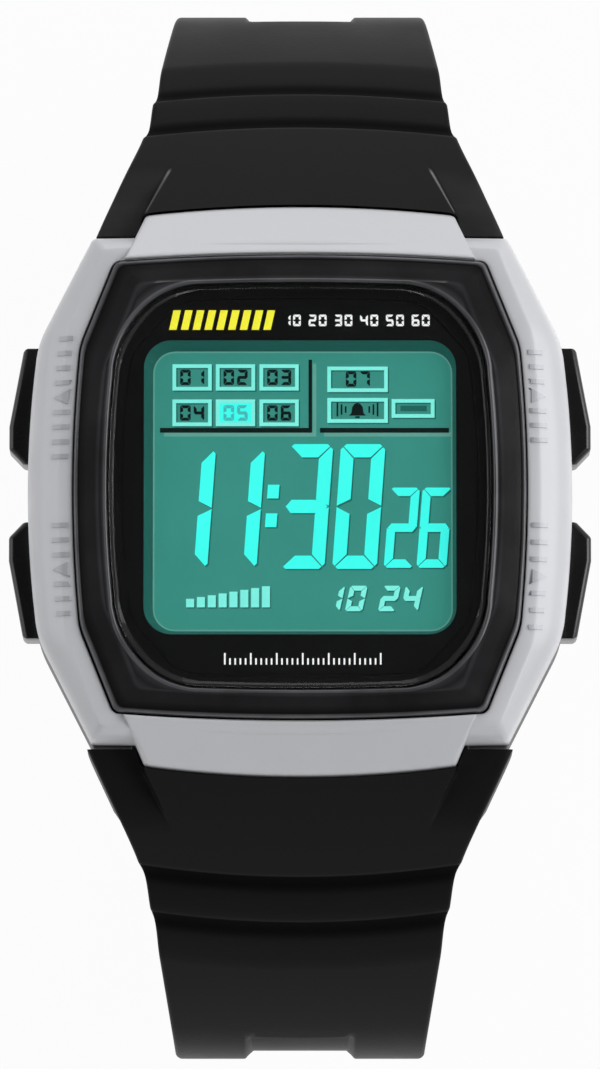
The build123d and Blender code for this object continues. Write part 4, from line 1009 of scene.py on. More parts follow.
print("points down a side:", len(upper_turns) + len(wall_shares) + len(lower_turns))

# %% [markdown]
# Now the closed surface. Each row runs across the top, down one side, back along the underside and
# up the other side. The two halves of the strap differ only in how far they bend, how long they
# are and how their ends look, so one function draws both.

# %% Rows round the strap
first_guess, notch_fade = 14 * mm, 6 * mm


def strap_grid(bend_radius, sweep, straight, end_half, tail_radius, flare=0.0):
    """Rows of points round the strap, from its head to its tail; see the cell above for their order.

    The top is the skin less its relief, and the underside lies one thickness below the skin, but
    in the head it goes evenly from the heel to there. The notch's line depends on the width and
    the width on the line, so the first row is found by taking them in turns.
    """
    bend_end = upper_length + knee_length + bend_radius * sweep
    total = bend_end + straight
    x0 = columns * first_guess
    for _ in range(30):
        x0 = columns * (plan_half(notch_start(x0), flare) - edge_radius)
    start = skin_distance(notch_start(x0))
    bowed = skin_distance(notch_start(0.0) - notch_crown * mm * (x0 / hood_corner[0]) ** 2)
    rows = row_places(bend_end, total)[:, None] / total
    beside = (start - bowed) * (1 - step(rows * total, 0, notch_fade))
    distance = bowed + beside + (total - bowed) * rows
    y, z, angle = skin(distance, bend_radius, sweep)
    past = distance > upper_length + knee_length
    wide = half_width(y, z, past, end_half, bend_radius, flare)
    from_tail = np.clip(tail_radius - (total - distance), 0, tail_radius)
    wide = wide - (tail_radius - np.sqrt(tail_radius ** 2 - from_tail ** 2))
    wide = wide - 0.06 * mm * groove_share(wide, y) * ~past
    x = columns * (wide - edge_radius)
    relief = (groove_deep * groove_share(x, y) * ~past
              + channel_deep * channel_share(x, angle, distance, bend_end))
    out_y, out_z = np.sin(angle), np.cos(angle)
    top = np.stack([x, y - out_y * relief, z - wing_drop(x, y, z) - out_z * relief], 2)
    heel_distance = (heel_angle - start_angle) * upper_radius
    seat = upper_centre + (upper_radius - strap_thick) * upright(heel_angle)
    share = np.clip((distance - start) / (heel_distance - start), 0, 1)
    in_head = distance < heel_distance
    under_y = np.where(in_head, heel[0] + (seat[0] - heel[0]) * share, y - out_y * strap_thick)
    under_z = np.where(in_head, heel[1] + (seat[1] - heel[1]) * share, z - out_z * strap_thick)
    bottom = np.stack([drawn_in(x, under_y, wide, flare), under_y, under_z], 2)
    side = side_rows(top[:, -1], bottom[:, -1], wide[:, -1], flare)
    mirrored = side[:, ::-1] * np.array([-1, 1, 1])
    return np.concatenate([top, side, bottom[:, ::-1], mirrored], axis=1)


short_sweep = math.radians(105)
long_grid = strap_grid(bend_radius=23 * mm, sweep=math.pi / 2, straight=46 * mm, end_half=8.0 * mm,
                       tail_radius=6.0 * mm, flare=long_flare)
short_grid = strap_grid(bend_radius=16.5 * mm, sweep=short_sweep, straight=13.1 * mm, end_half=8.3 * mm,
                        tail_radius=0.01 * mm)
print("rows, and points in each:", long_grid.shape[:2], short_grid.shape[:2])

# %% [markdown]
# The first row is closed by an end wall that goes down round the lug in the middle and round the
# ears at the sides. It is a grid too, with a column for each column of the strap, so its edges
# share their points with the strap's first row, and no gap can open between them.

# %% End wall of the strap
def head_wall(ring, flare):
    """The strap's end wall: each column goes from the top row to the heel, round the ear or the lug."""
    count = len(columns)
    sides = (len(ring) - 2 * count) // 2
    top, bottom = ring[:count], ring[count + sides:2 * count + sides][::-1]
    right, left = ring[count:count + sides], ring[2 * count + sides:][::-1]
    share = np.linspace(0, 1, sides + 2)
    wall = np.zeros((sides + 2, count, 3))
    for column in range(count):
        x, begin = top[column, 0], top[column, 1:]
        below = lug_face[lug_face[:, 0] > begin[0]] if begin[0] > bar_line[0] else lug_face
        below = below[below[:, 1] < begin[1]]
        round_lug = along_line(np.concatenate([[begin], below, [heel]]), share)
        round_ear = along_line(np.concatenate([[begin], ear_face]), share)
        on_ear = step(abs(x), lug_side - 0.12 * mm, lug_side)
        wall[:, column, 1:] = round_lug * (1 - on_ear) + round_ear * on_ear
        wide = abs(x / columns[column]) + edge_radius if columns[column] else half_case
        wall[:, column, 0] = drawn_in(x, wall[:, column, 1], wide, flare)
    wall[0], wall[-1] = top, bottom
    wall[1:-1, -1], wall[1:-1, 0] = right, left
    return wall


print("points down and across the end wall:", head_wall(long_grid[0], long_flare).shape[:2])

# %% [markdown]
# Two marks go with each point of a strap. One is a painted highlight, on the wall of the middle
# panel and a little on the wings. The other is painted shade where a groove is so deep that hardly
# any light comes out of it. The shader turns them into a lighter and a darker colour.

# %% Marks of the straps
# How strong the painted highlight on the wings is.
wing_highlight = 0.12


def strap_marks(points, side):
    """Painted highlight on the wall and wings of the upper panel and painted shade in the grooves, for each
    point.
    """
    x, y, z = np.abs(points[:, 0]), np.abs(points[:, 1]), points[:, 2]
    outside = (z > height(3.0)) * (side > 0)
    across = x - panel_half(y)
    along = step(y, 20.2 * mm, 20.5 * mm) * (1 - step(y, 23.6 * mm, 24.0 * mm))
    wall = step(across, -0.04 * mm, 0.06 * mm) * (1 - step(across, 0.16 * mm, 0.26 * mm)) * along
    wing = wing_highlight * step(across, 0.2 * mm, 0.5 * mm) * (1 - step(y, 22.0 * mm, wing_end_y))
    # Painted shade: strongest just past each groove's crisp wall, fading out up the ramp.
    dark = np.zeros(len(points))
    for line in groove_lines:
        past = past_groove(x, y, line)
        dark = np.maximum(dark, step(past, -0.03 * mm, 0.10 * mm) * (1 - step(past, 0.5 * mm, 2.0 * mm)))
    return np.maximum(wall, wing) * outside, 0.95 * dark * (z > height(-6.0))


print("points in the long strap's grooves:", int((strap_marks(long_grid.reshape(-1, 3), -1)[1] > 0.5).sum()))

# %% [markdown]
# A strap's rows, its head wall and its tail face are joined into one closed mesh. Points that fall
# together, such as those on the line that the wall shares with the first row, are merged, and the
# faces are then turned to point outwards.

# %% Strap surfaces
def strap_piece(name, grid, side, flare=0.0):
    """Joins the rows, the head wall and the tail face; side 1 is twelve o'clock, side -1 is six."""
    rows, around = grid.shape[:2]
    wall = head_wall(grid[0], flare)
    faces = np.concatenate([grid_faces(rows, around, wrap_columns=True)[:, ::-1],
                            grid_faces(*wall.shape[:2]) + rows * around]).tolist()
    faces.append(list(range((rows - 1) * around, rows * around))[::-1])
    points = np.concatenate([grid.reshape(-1, 3), wall.reshape(-1, 3)]) * np.array([1, side, 1])
    mesh = bpy.data.meshes.new(name)
    mesh.from_pydata(points.tolist(), [], faces)
    shell = bmesh.new()
    shell.from_mesh(mesh)
    bmesh.ops.remove_doubles(shell, verts=shell.verts, dist=0.004 * mm)
    bmesh.ops.recalc_face_normals(shell, faces=shell.faces)
    shell.to_mesh(mesh)
    shell.free()
    piece = linked(name, mesh, crease=38)
    places = np.zeros(3 * len(mesh.vertices), np.float32)
    mesh.vertices.foreach_get("co", places)
    bright, dark = strap_marks(places.reshape(-1, 3), side)
    mark_points(piece, bright)
    mark_points(piece, dark, "crevice")
    return piece


long_piece = strap_piece("long_strap_skin", long_grid, -1, flare=long_flare)
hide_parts("long_strap")
paint(long_piece, strap_black)
short_piece = strap_piece("short_strap_skin", short_grid, 1)
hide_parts("short_strap")
paint(short_piece, strap_black)
print("strap faces:", [len(piece.data.polygons) for piece in (long_piece, short_piece)])

# %% [markdown]
# The solids that keep their own shape only need a finish. Most of them are inside the case, where
# nobody looks until it is opened, but each is finished as what it is made of.

# %% Finishes for the solids that stay
buttons = ("light_button", "set_button", "mode_button", "start_button")
finishes = {
    "case_body": case_black, "case_back": brushed, "case_back_screws": steel, "back_gasket": rubber,
    "lens_gasket": mask_black, "dial_mask": mask_black, "lcd_contact_strips": rubber,
    "module_frame": module_white, "circuit_board": board_green, "chip_cover": chip_black,
    "quartz_crystal": steel, "chip_capacitors": ceramic, "buzzer_coil": chip_black, "battery": steel,
    "battery_contact": gold_contact, "battery_clip": gold_contact, "battery_clip_screws": steel,
    "buzzer_plate": brass, "buzzer_ceramic": ceramic, "buzzer_spring": steel,
    "insulator_sheet": film_amber, "backlight_panel": panel_white, "lcd_front_glass": panel_white,
    "lcd_back_glass": panel_white, "upper_spring_bar": steel, "lower_spring_bar": steel,
    "buckle_bar": steel, "buckle_tongue": steel,
}
for button in buttons:
    finishes |= {f"{button}_stem": steel, f"{button}_seal": rubber, f"{button}_clip": steel}


def paint_solid(name, material):
    """Gives a solid of the frame its one material."""
    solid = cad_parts[name]
    solid.data.materials.clear()
    solid.data.materials.append(material)


for name, material in finishes.items():
    paint_solid(name, material)
print("solids finished:", len(finishes), "of", len(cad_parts))

# %% [markdown]
# Some solids are right in form and only need work on their mesh: the caps and the buckle want
# rounded edges, and the springs want to shorten. A solid's mesh is loose triangles, so a copy is
# joined up first. The copy is then worked on, and it stands in for the solid.

# %% Copies of solids
def joined_copy(source, name, crease, rework=None):
    """A copy of a solid with its triangles merged, its place in its mesh, and its faces outwards."""
    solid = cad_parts[source]
    mesh = solid.data.copy()
    mesh.transform(solid.matrix_world)
    shell = bmesh.new()
    shell.from_mesh(mesh)
    bmesh.ops.remove_doubles(shell, verts=shell.verts, dist=0.002 * mm)
    if rework:
        rework(shell)
    bmesh.ops.recalc_face_normals(shell, faces=shell.faces)
    shell.to_mesh(mesh)
    shell.free()
    return linked(name, mesh, crease)


def softened(name, source, body, width, material):
    """A copy of a solid with every edge over 30 degrees rounded by a bevel of the given width."""
    def rounded(shell):
        bmesh.ops.dissolve_limit(shell, angle_limit=math.radians(1), verts=shell.verts, edges=shell.edges)
        sharp = [edge for edge in shell.edges if edge.calc_face_angle(0) > math.radians(30)]
        bmesh.ops.bevel(shell, geom=sharp, offset=width, segments=3, profile=0.5, affect="EDGES",
                        clamp_overlap=True)

    piece = joined_copy(source, name, 35, rounded)
    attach(piece, body)
    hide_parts(source)
    paint(piece, material)


print("triangles in the solid of a cap:", len(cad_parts["light_button_cap"].data.polygons))

# %% [markdown]
# Behind each cap a coil spring is squeezed between the button and the case when the button goes in.
# A spring that rode on either of them whole would cut through the other. Its copy rides on the
# button, which keeps its outer end at the cap, and it keeps its length.


def shortening_spring(button):
    """A copy of a button's coil spring that rides on the button."""
    piece = joined_copy(f"{button}_spring", f"{button}_coil", 50)
    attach(piece, button)
    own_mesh(piece)
    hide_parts(f"{button}_spring")
    paint(piece, steel)


for button in buttons:
    shortening_spring(button)
    softened(f"{button}_skin", f"{button}_cap", button, 0.22 * mm, button_black)
softened("buckle_frame_skin", "buckle_frame", "buckle", 0.25 * mm, steel)
print("copies of solids:", 2 * len(buttons) + 1)

# %% [markdown]
# The lit display has a green panel and brighter figures that stand a hair above it. Each figure is a
# thin plate cut from a flat outline, so it stays crisp at any zoom and shows its thickness from the
# side, as the segments behind a real display's glass do.

# %% Flat plates
def prisms(outlines, low, high):
    """Points and faces of upright prisms; a level is a number, or a function of the outline's points."""
    points, faces, first = [], [], 0
    for outline in outlines:
        outline = np.asarray(outline, float) * mm
        count = len(outline)
        for level in (low, high):
            level = level(outline) if callable(level) else np.full(count, level)
            points.append(np.column_stack([outline, level]))
        ring = np.arange(count)
        walls = np.stack([ring, np.roll(ring, -1), np.roll(ring, -1) + count, ring + count], 1) + first
        faces += walls.tolist() + [(ring[::-1] + first).tolist(), (ring + count + first).tolist()]
        first += 2 * count
    return np.concatenate(points), faces


def plates(name, outlines, low, high, material):
    """One piece made of prisms with outlines in millimetres, anticlockwise."""
    paint(new_piece(name, *prisms(outlines, low, high), crease=30), material)


def block(left, right, low, high):
    """A rectangle as four corners."""
    return np.array([(left, low), (right, low), (right, high), (left, high)], float)


def box_frame(left, right, low, high, line):
    """The four mitred sides of a rectangular outline."""
    outer = block(left, right, low, high)
    inner = block(left + line, right - line, low + line, high - line)
    return [np.array([outer[k], outer[(k + 1) % 4], inner[(k + 1) % 4], inner[k]]) for k in range(4)]


print("faces of one block:", len(prisms([block(0, 1, 0, 1)], 0, 1)[1]))

# %% [markdown]
# A seven-segment digit has two kinds of segment with slanted ends, one that lies and one that
# stands, and a bar across its middle. The letters a to g are the usual ones: a is the top one, b to
# f follow clockwise, and g is the bar. Only a, b and g are drawn; the others are mirrored from them.

# %% Digits
segments_of = {"0": "abcdef", "1": "bc", "2": "abged", "3": "abgcd", "4": "fgbc", "5": "afgcd",
               "6": "afgedc", "7": "abc"}


def digit(figure, left, base, wide, tall, stroke, lean, gap=0.10):
    """The segments of a leaning seven-segment digit; x grows by the lean times the height."""
    middle, half, cut, half_gap = tall / 2, stroke / 2, 0.35 * stroke, gap / 2
    upper = np.array([(wide, tall - cut - half_gap), (wide - cut / 2, tall - cut / 2 - half_gap),
                      (wide - stroke, tall - stroke - gap), (wide - stroke, middle + half + half_gap),
                      (wide, middle + half_gap)])
    top = np.array([(cut + half_gap, tall), (cut / 2 + half_gap, tall - cut / 2),
                    (stroke + half_gap, tall - stroke), (wide - stroke - half_gap, tall - stroke),
                    (wide - cut / 2 - half_gap, tall - cut / 2), (wide - cut - half_gap, tall)])
    bar = np.array([(gap, middle), (half, middle - half), (wide - half, middle - half),
                    (wide - gap, middle), (wide - half, middle + half), (half, middle + half)])

    def flipped(shape, way, shift):
        """A shape mirrored by a factor for x and y and moved back, with its corners anticlockwise."""
        return (shape * way + shift)[::-1]

    upside_down, other_way = ([1, -1], [0, tall]), ([-1, 1], [wide, 0])
    shapes = {"a": top, "b": upper, "c": flipped(upper, *upside_down), "d": flipped(top, *upside_down),
              "f": flipped(upper, *other_way), "g": bar}
    shapes["e"] = flipped(shapes["c"], *other_way)
    return [shape + np.column_stack([left + lean * shape[:, 1], np.full(len(shape), base)])
            for shape in (shapes[part] for part in segments_of[figure])]


print("corners of a standing segment:", len(digit("1", 0, 0, 2, 4, 0.5, 0)[0]))

# %% [markdown]
# Panel and figures glow, and they are also lit a little from outside. That is why their shaders
# have both a base colour and an emission: the rim of the dial can then throw its soft shadow on the
# panel.

# %% Display finishes
glow_shift = 0.07


def glow(name, colour, light, lit=0.5):
    """A film or ink of one colour that glows and is also lit a little, and shifts a little in broad patches.
    """
    material, tree, shader = new_finish(name)
    shader.inputs["Roughness"].default_value = 0.5
    shader.inputs["Specular IOR Level"].default_value = 0.1
    shader.inputs["Emission Strength"].default_value = light
    patches = placed(tree, grain, Scale=1200.0, Stretch=(1, 1, 1))["Patches"]
    for socket, strength in (("Base Color", lit), ("Emission Color", 1.0)):
        shifted = mixed(tree, patches, scaled(colour, strength * (1 - glow_shift)),
                        scaled(colour, strength * (1 + glow_shift)))
        feed(tree, shifted, shader.inputs[socket])
    return material


panel_green = glow("display_panel", linear(56, 140, 128), 0.62)
# The rim is darker than the panel: painted shade where the card's edge shadows the panel.
panel_rim = glow("display_rim", linear(30, 92, 84), 0.5)
figure_cyan = glow("display_figures", linear(62, 250, 236), 0.85, lit=0.3)
outline_cyan = glow("display_outlines", linear(128, 240, 226), 0.8, lit=0.3)
figure_dark = glow("display_dark_marks", linear(4, 26, 24), 0.3)
figure_shade = glow("display_figure_shade", linear(30, 104, 96), 0.5)
panel_pale = glow("display_pale_shade", linear(96, 158, 146), 0.62)
figure_mid = glow("display_soft_mark", linear(70, 176, 176), 0.7)
# The print glows too: painted light, so that the ink shows bright under the lens.
print_yellow = glow("printed_yellow", linear(240, 232, 60), 0.45, lit=0.8)
print_white = glow("printed_white", linear(238, 238, 236), 0.45, lit=0.8)

paint_solid("lcd_polarizer", panel_green)
print("materials so far:", len(bpy.data.materials))

# %% [markdown]
# The figures. Their places are in millimetres from the middle of the watch. Under each one lies a
# darker copy, shifted a little down and right: real segments throw that shade on the panel.

# %% Time and seconds
film_top = film_high[2]
figure_low, figure_high = film_top + 0.012 * mm, film_top + 0.03 * mm
shade_low, shade_high = film_top + 0.002 * mm, film_top + 0.010 * mm
shade_shift = np.array([0.10, -0.10])
time_base, time_lean = -5.83, 0.072
time_digit = {"base": time_base, "wide": 3.21, "stroke": 0.97, "lean": time_lean}
time_tall, one_lower = 9.09, 0.3
seconds_digit = {"base": -5.75, "wide": 2.16, "tall": 5.84, "stroke": 0.62, "lean": 0.08, "gap": 0.06}
figures = []
for figure, right in zip("1130", (-6.69, -3.14, 1.75, 5.52)):
    tall = time_tall - one_lower * (figure == "1")
    figures += digit(figure, right - time_digit["wide"], tall=tall, **time_digit)
for low in (-2.79, -0.70):
    colon = block(-2.75, -1.92, low, low + 1.0)
    figures.append(colon + np.column_stack([time_lean * (colon[:, 1] - time_base), np.zeros(4)]))
for figure, left in zip("26", (6.02, 8.38)):
    figures += digit(figure, left, **seconds_digit)
plates("display_figures", figures, figure_low, figure_high, figure_cyan)
print("segments of the time:", len(figures))

# %% [markdown]
# Above the time stand two rows of small boxes, one for each day, and three more beside them. One
# day is chosen, and its box is filled. Each frame is four mitred plates rather than a big plate
# with a hole, because a flat face in Blender has no holes.

# %% Boxes and dividing lines
box_line = 0.27
day_lefts, day_wide = (-9.21, -6.08, -2.93), 2.84
day_rows = ((7.17, 9.09), (4.57, 6.52))
box_edges = [(left, left + day_wide, low, high) for low, high in day_rows for left in day_lefts]
box_edges += [(1.97, 6.34, 7.06, 8.92), (1.97, 6.34, 4.81, 6.63), (6.61, 9.71, 5.18, 6.55)]
boxes = sum((box_frame(*edges, box_line) for edges in box_edges), [])
plates("display_boxes", boxes, figure_low, figure_high, outline_cyan)
chosen = block(*(np.array(box_edges[4]) + box_line * np.array([1, -1, 1, -1])))
plates("display_chosen_day", [chosen], figure_low, figure_high, figure_cyan)
plates("display_shades", [outline + shade_shift for outline in figures + boxes], shade_low, shade_high,
       figure_shade)

rules = [block(-10.1, 0.62, 4.09, 4.44), block(0.62, 0.87, 4.09, 9.42), block(1.44, 10.75, 4.09, 4.44)]
rule_shade_shift = np.array([0.30, -0.28])
plates("display_rules", rules, figure_low, figure_high, figure_dark)
plates("display_rule_shades", [rule + rule_shade_shift for rule in rules], shade_low, shade_high,
       panel_pale)
print("display plates:", len(figures) + len(boxes) + len(rules))

# %% [markdown]
# The small boxes hold plain numbers, one for each day, and the longer one holds a bell. The numbers
# are made of the same segments as the time, only smaller. A font would neither look like segments
# nor be sure to be there. The bell is one half outline and its mirror image.

# %% Small numbers and bell
def number(text, left, base, wide, tall, advance, stroke, lean=0.0):
    """A row of seven-segment digits, each one an advance further right."""
    return sum((digit(figure, left + place * advance, base, wide, tall, stroke, lean, gap=0.03)
                for place, figure in enumerate(text)), [])


day_size = {"wide": 0.76, "tall": 1.12, "advance": 0.98, "stroke": 0.22}
day_places = [(left, low) for low, _ in day_rows for left in day_lefts] + [(2.75, 7.05)]
day_numbers = [number(f"0{day + 1}", left + 0.56, low + 0.40, **day_size)
               for day, (left, low) in enumerate(day_places)]
chosen_number = day_numbers.pop(4)
bell_place, wave_half = np.array([4.15, 5.18]), 0.06
bell_half = np.array([(0.62, 0.16), (0.44, 0.34), (0.38, 0.78), (0.22, 1.00), (0.07, 1.07)])
bell = [np.concatenate([bell_half, bell_half[::-1] * [-1, 1]]), block(-0.16, 0.16, -0.02, 0.11)]
bell += [block(side * reach - wave_half, side * reach + wave_half, 0.6 - tall, 0.6 + tall)
         for side in (-1, 1) for reach, tall in ((0.85, 0.24), (1.15, 0.38), (1.45, 0.5))]
dark_marks = sum(day_numbers, []) + [shape + bell_place for shape in bell]
plates("display_small_numbers", dark_marks, figure_low, figure_high, figure_dark)
plates("display_chosen_number", chosen_number, figure_high + 0.002 * mm, figure_high + 0.01 * mm,
       figure_mid)
print("dark marks:", len(dark_marks))

# %% [markdown]
# Below the time stand a level meter, whose bars grow by an even step, and two small slanted numbers.
# They are lit like the outlines, a little paler than the time. A dark bar fills the last box.

# %% Meter and low numbers
meter_step, meter_rise = 0.78, 0.13
meter = [block(-8.2 + meter_step * k, -7.62 + meter_step * k, -8.62, -8.0 + meter_rise * k)
         for k in range(8)]
date_size = {"wide": 1.25, "tall": 1.85, "advance": 1.62, "stroke": 0.36, "lean": 0.22}
low_figures = meter + number("10", 1.6, -8.9, **date_size) + number("24", 5.6, -8.9, **date_size)
low_shade_shift = np.array([0.09, -0.09])
plates("display_level_mark", [block(7.25, 9.15, 5.66, 6.06)], figure_low, figure_high, figure_shade)
plates("display_low_figures", low_figures, figure_low, figure_high, outline_cyan)
plates("display_low_shades", [shape + low_shade_shift for shape in low_figures], shade_low, shade_high,
       figure_shade)
print("low figures:", len(low_figures))

# %% [markdown]
# Where the display shows through the black card, a sloping rim leads down to the panel, and a fine
# pale line runs round the panel itself. Both could be painted on, but the rim's slope takes light
# and shadow, and in a view from the side it hides the edge of the glass. So both are thin bands
# between round rectangles. The rim's colour is also darker than the panel's, as painted shade.

# %% Rim of the display
def rounded_box(half_x, half_y, radius, steps=9):
    """A rectangle with round corners round the origin, anticlockwise."""
    angle = np.linspace(0, math.pi / 2, steps)
    corner = np.stack([half_x - radius + radius * np.cos(angle), half_y - radius + radius * np.sin(angle)], 1)
    return np.concatenate([corner, corner[::-1] * [-1, 1], corner * [-1, -1], corner[::-1] * [1, -1]])


window_line = rounded_box(11.25 * mm, 10.7 * mm, 2.0 * mm)


def panel_line(inset):
    """The panel's lit part less an inset; it sits a little right and low in the window."""
    return rounded_box(10.8 * mm - inset, 10.19 * mm - inset, 1.6 * mm - inset) + np.array([0.2, -0.17]) * mm


rim_top, line_wide = height(8.0), 0.11 * mm
rim = ring_stack("display_rim", [(window_line, shade_low), (window_line, rim_top),
                                 (panel_line(0), shade_high), (panel_line(0), shade_low)])
paint(rim, panel_rim)
border_section = [(0, shade_low), (0, figure_low), (line_wide, figure_low), (line_wide, shade_low)]
pale = ring_stack("display_border", [(panel_line(inset), level) for inset, level in border_section])
paint(pale, panel_pale)
print("points of rim and border:", len(rim.data.vertices), len(pale.data.vertices))

# %% [markdown]
# The card carries generic print round the window: slanted stripes and numbers above the window, and
# a scale of ticks below it. Print on a real card is a layer of ink, so it is made as plates too,
# only two hundredths of a millimetre thick, and its edges stay crisp without an image. Its finish
# glows a little, as painted light, so that the ink shows bright under the lens.

# %% Print on the card
print_low, print_high = mask_high[2] + 0.003 * mm, mask_high[2] + 0.02 * mm
stripe_low, stripe_high, stripe_wide, stripe_lean = 11.45, 12.88, 0.54, 0.22
stripes = [block(left, left + stripe_wide, stripe_low, stripe_high) for left in np.arange(9) * 0.85 - 9.45]
stripes = [stripe + np.column_stack([stripe_lean * (stripe[:, 1] - stripe_low), np.zeros(4)])
           for stripe in stripes]
plates("card_stripes", stripes, print_low, print_high, print_yellow)
scale_size = {"wide": 0.56, "tall": 0.84, "advance": 0.74, "stroke": 0.16}
scale_numbers = sum((number(f"{k}0", 1.86 * k - 3.1, 11.72, **scale_size) for k in range(1, 7)), [])
tick_half, tick_low, long_tick, short_tick = 0.06, -12.9, 0.84, 0.46
ticks = [block(x - tick_half, x + tick_half, tick_low, tick_low + (short_tick if k % 5 else long_tick))
         for k, x in enumerate(np.linspace(-5.4, 5.8, 31))]
plates("card_scale", scale_numbers + ticks, print_low, print_high, print_white)
print("print shapes:", len(stripes) + len(scale_numbers) + len(ticks))

# %% [markdown]
# Beside each button the rail has raised marks. Their corners stand on the rail's own surface: a plan
# point lies a share of the way from the case outline to the bezel, and the section gives the height
# at that share. A flat mark can't follow a slope, so each is cut into narrow slices.

# %% Marks on the rails
mark_half, bar_half, arrow_half, arrow_tip = 0.6, 0.17, 0.6, 0.02


def side_x(outline, y):
    """How far out an outline's right side is at given places along it."""
    right = outline[outline[:, 0] > 0]
    right = right[np.argsort(right[:, 1])]
    return np.interp(y, right[:, 1], right[:, 0])


def rail_level(plan):
    """Height of the rails over plan points beside the dial."""
    outer, inner = side_x(case_ring(0), plan[:, 1]), side_x(bezel_ring(-rail_flat), plan[:, 1])
    share = (outer - np.abs(plan[:, 0])) / (outer - inner)
    return height(np.interp(share, section[:, 0], section[:, 1]))


def sliced(x, y, half_lengths):
    """A mark in slices; the half lengths give how far it reaches along the rail at each slice's edge."""
    edges = np.linspace(-mark_half, mark_half, len(half_lengths))
    return [np.array([(x + a, y - tall_a), (x + b, y - tall_b), (x + b, y + tall_b), (x + a, y + tall_a)])
            for a, b, tall_a, tall_b in zip(edges, edges[1:], half_lengths, half_lengths[1:])]


def mark_group(side, low, high, count):
    """Short bars in a row along a rail, with an arrowhead towards the button in their middle.

    The row follows the rail's bow: x is 17.3 mm less 0.0045 y squared.
    """
    shapes = []
    for y in np.linspace(low, high, count):
        in_middle = abs(y - (low + high) / 2) < 0.1
        tall = np.linspace(arrow_half, arrow_tip, 7)[::side] if in_middle else np.full(7, bar_half)
        shapes += sliced(side * (17.3 - 0.0045 * y * y), y, tall)
    return shapes


rail_groups = (mark_group(-1, 2.2, 10.8, 9) + mark_group(-1, -9.2, -2.8, 7)
               + mark_group(1, 3.4, 9.8, 7) + mark_group(1, -10.2, -2.8, 7))
plates("rail_marks", rail_groups, lambda plan: rail_level(plan) - 0.05 * mm,
       lambda plan: rail_level(plan) + 0.1 * mm, silver_mark)
print("rail marks:", len(rail_groups))

# %% [markdown]
# The far end of the long strap has seven holes for the buckle's tongue. Holes in a grid of points
# would need rows that swerve round them, so here a Boolean is the simpler way. It is applied at
# once, and no modifier is left on the piece.

# %% Holes of the long strap
def carve(piece, points, faces):
    """Takes a closed shape out of a piece for good."""
    mesh = bpy.data.meshes.new("cutter")
    mesh.from_pydata(points.tolist(), [], faces)
    cutter = bpy.data.objects.new("cutter", mesh)
    bpy.context.scene.collection.objects.link(cutter)
    boolean = piece.modifiers.new("carve", "BOOLEAN")
    boolean.operation, boolean.solver, boolean.object = "DIFFERENCE", "EXACT", cutter
    baked = bpy.data.meshes.new_from_object(piece.evaluated_get(bpy.context.evaluated_depsgraph_get()))
    piece.modifiers.clear()
    plain = piece.data
    piece.data = baked
    bpy.data.meshes.remove(plain)
    bpy.data.meshes.remove(mesh)
    baked.shade_smooth()
    baked.set_sharp_from_angle(angle=math.radians(38))


hole_places = 22.97 - 6.0 * np.arange(7)
hole_round, hole_straight = 1.15, 0.55
round_end = np.linspace(-math.pi / 2, math.pi / 2, 13)
hole_end = np.stack([hole_straight + hole_round * np.cos(round_end), hole_round * np.sin(round_end)], 1)
hole_outline = np.concatenate([hole_end, -hole_end])
carve(long_piece, *prisms([hole_outline + [0, y] for y in hole_places], -1.0 * mm, 4.0 * mm))
print("holes:", len(hole_places))

# %% [markdown]
# The short strap has a gap in the middle of its end, where the root of the tongue turns on the bar.
# Shapes about the bar are turned, like work on a lathe: a profile gives a radius at each place
# along the bar. The shape that is taken out is closed by a flat disc at either end.

# %% Gap of the short strap
eye_centre = np.mean(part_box("buckle_bar"), axis=0)
bar_steps = 40


def turned_on_bar(profile):
    """A shape turned round the buckle's bar: each profile entry is a place along it and a radius."""
    angle = np.linspace(0, 2 * math.pi, bar_steps, endpoint=False)
    x, radius = (np.array(values)[:, None] * mm for values in zip(*profile))
    rows = [np.broadcast_to(x, (len(profile), bar_steps)), radius * np.cos(angle), radius * np.sin(angle)]
    return np.stack(rows, 2) + eye_centre * [0, 1, 1]


gap_half, gap_radius, nearly_none = 1.25, 2.13, 0.001
tongue_room = turned_on_bar([(-gap_half, nearly_none), (-gap_half, gap_radius), (gap_half, gap_radius),
                             (gap_half, nearly_none)])
ends = [list(range(bar_steps)), list(range(3 * bar_steps, 4 * bar_steps))[::-1]]
carve(short_piece, tongue_room.reshape(-1, 3), grid_faces(4, bar_steps, wrap_columns=True).tolist() + ends)
print("eye centre in mm:", np.round(eye_centre / mm, 2))

# %% [markdown]
# Resin is flexible. A real strap gives way just outside the case, while its head stays fixed in the
# lugs. Here each strap only has its place baked into its mesh, and it does not bend. The eye that
# holds the buckle's bar is a round tube on each side of the gap, and it rides on the short strap's body.

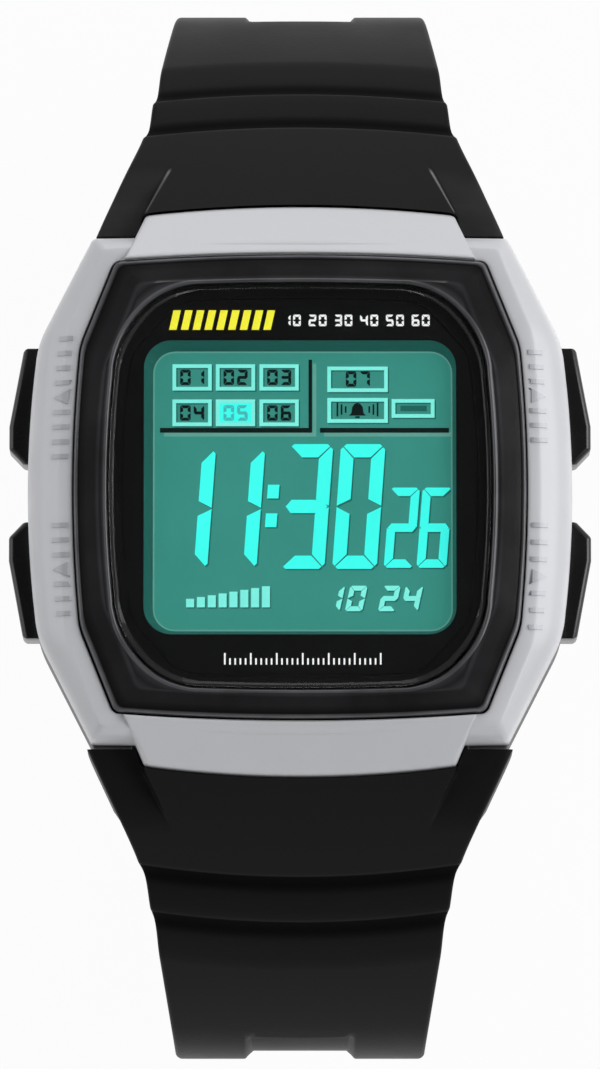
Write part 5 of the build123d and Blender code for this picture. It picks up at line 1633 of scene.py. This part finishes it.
# %% Places of the straps and eye for the buckle
for piece, strap_body, side in ((short_piece, "upper_strap", 1), (long_piece, "lower_strap", -1)):
    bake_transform(piece)
bore, tube_radius, tube_start, tube_end = 0.78, 1.75, 1.25, 8.3
tube_profile = np.array([(tube_start, bore), (tube_start, tube_radius - 0.1), (tube_start + 0.1, tube_radius),
                         (tube_end - 0.15, tube_radius), (tube_end, tube_radius - 0.15), (tube_end, bore)])
for side_name, side in (("left", -1), ("right", 1)):
    tube = turned_on_bar(tube_profile * [side, 1])
    faces = grid_faces(len(tube_profile), bar_steps, wrap_rows=True, wrap_columns=True)
    eye = new_piece(f"strap_eye_{side_name}", tube, faces[:, ::side], "upper_strap")
    paint(eye, strap_black)

# %% [markdown]
# The keeper is the loop that holds the strap's free end. A round rectangle with a Solidify modifier
# would do, but its edges would be sharp. Instead its wall is swept round the strap: the rectangle
# grows from the inner to the outer size while a profile with cut corners goes round the wall.

# %% Keeper
keeper_inner, keeper_grow = np.array([8.45, 1.40]) * mm, 1.2 * mm
keeper_back = 8.1 * mm
# Each entry is a share of the way outwards through the wall and a place along the strap.
keeper_profile = [(0.0, -2.38), (0.10, -2.5), (0.85, -2.5), (1.0, -2.32), (1.0, 2.32), (0.85, 2.5),
                  (0.10, 2.5), (0.0, 2.38)]
run_angle = math.pi / 2 + short_sweep
run_way = np.array([0, math.cos(run_angle), -math.sin(run_angle)])
run_out = np.array([0, math.sin(run_angle), math.cos(run_angle)])
keeper_middle = eye_centre - keeper_back * run_way
rows = []
for share, along in keeper_profile:
    loop = rounded_box(*(keeper_inner + share * keeper_grow), (0.3 + 0.6 * share) * mm)
    rows.append(keeper_middle + loop[:, :1] * [1, 0, 0] + loop[:, 1:] * run_out + along * mm * run_way)
keeper_faces = grid_faces(len(rows), len(rows[0]), wrap_rows=True, wrap_columns=True)[:, ::-1]
keeper = new_piece("keeper_band", np.stack(rows), keeper_faces, "keeper", crease=50)
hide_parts("keeper_loop")
paint(keeper, strap_black)
print("keeper points:", len(keeper.data.vertices))

# %% [markdown]
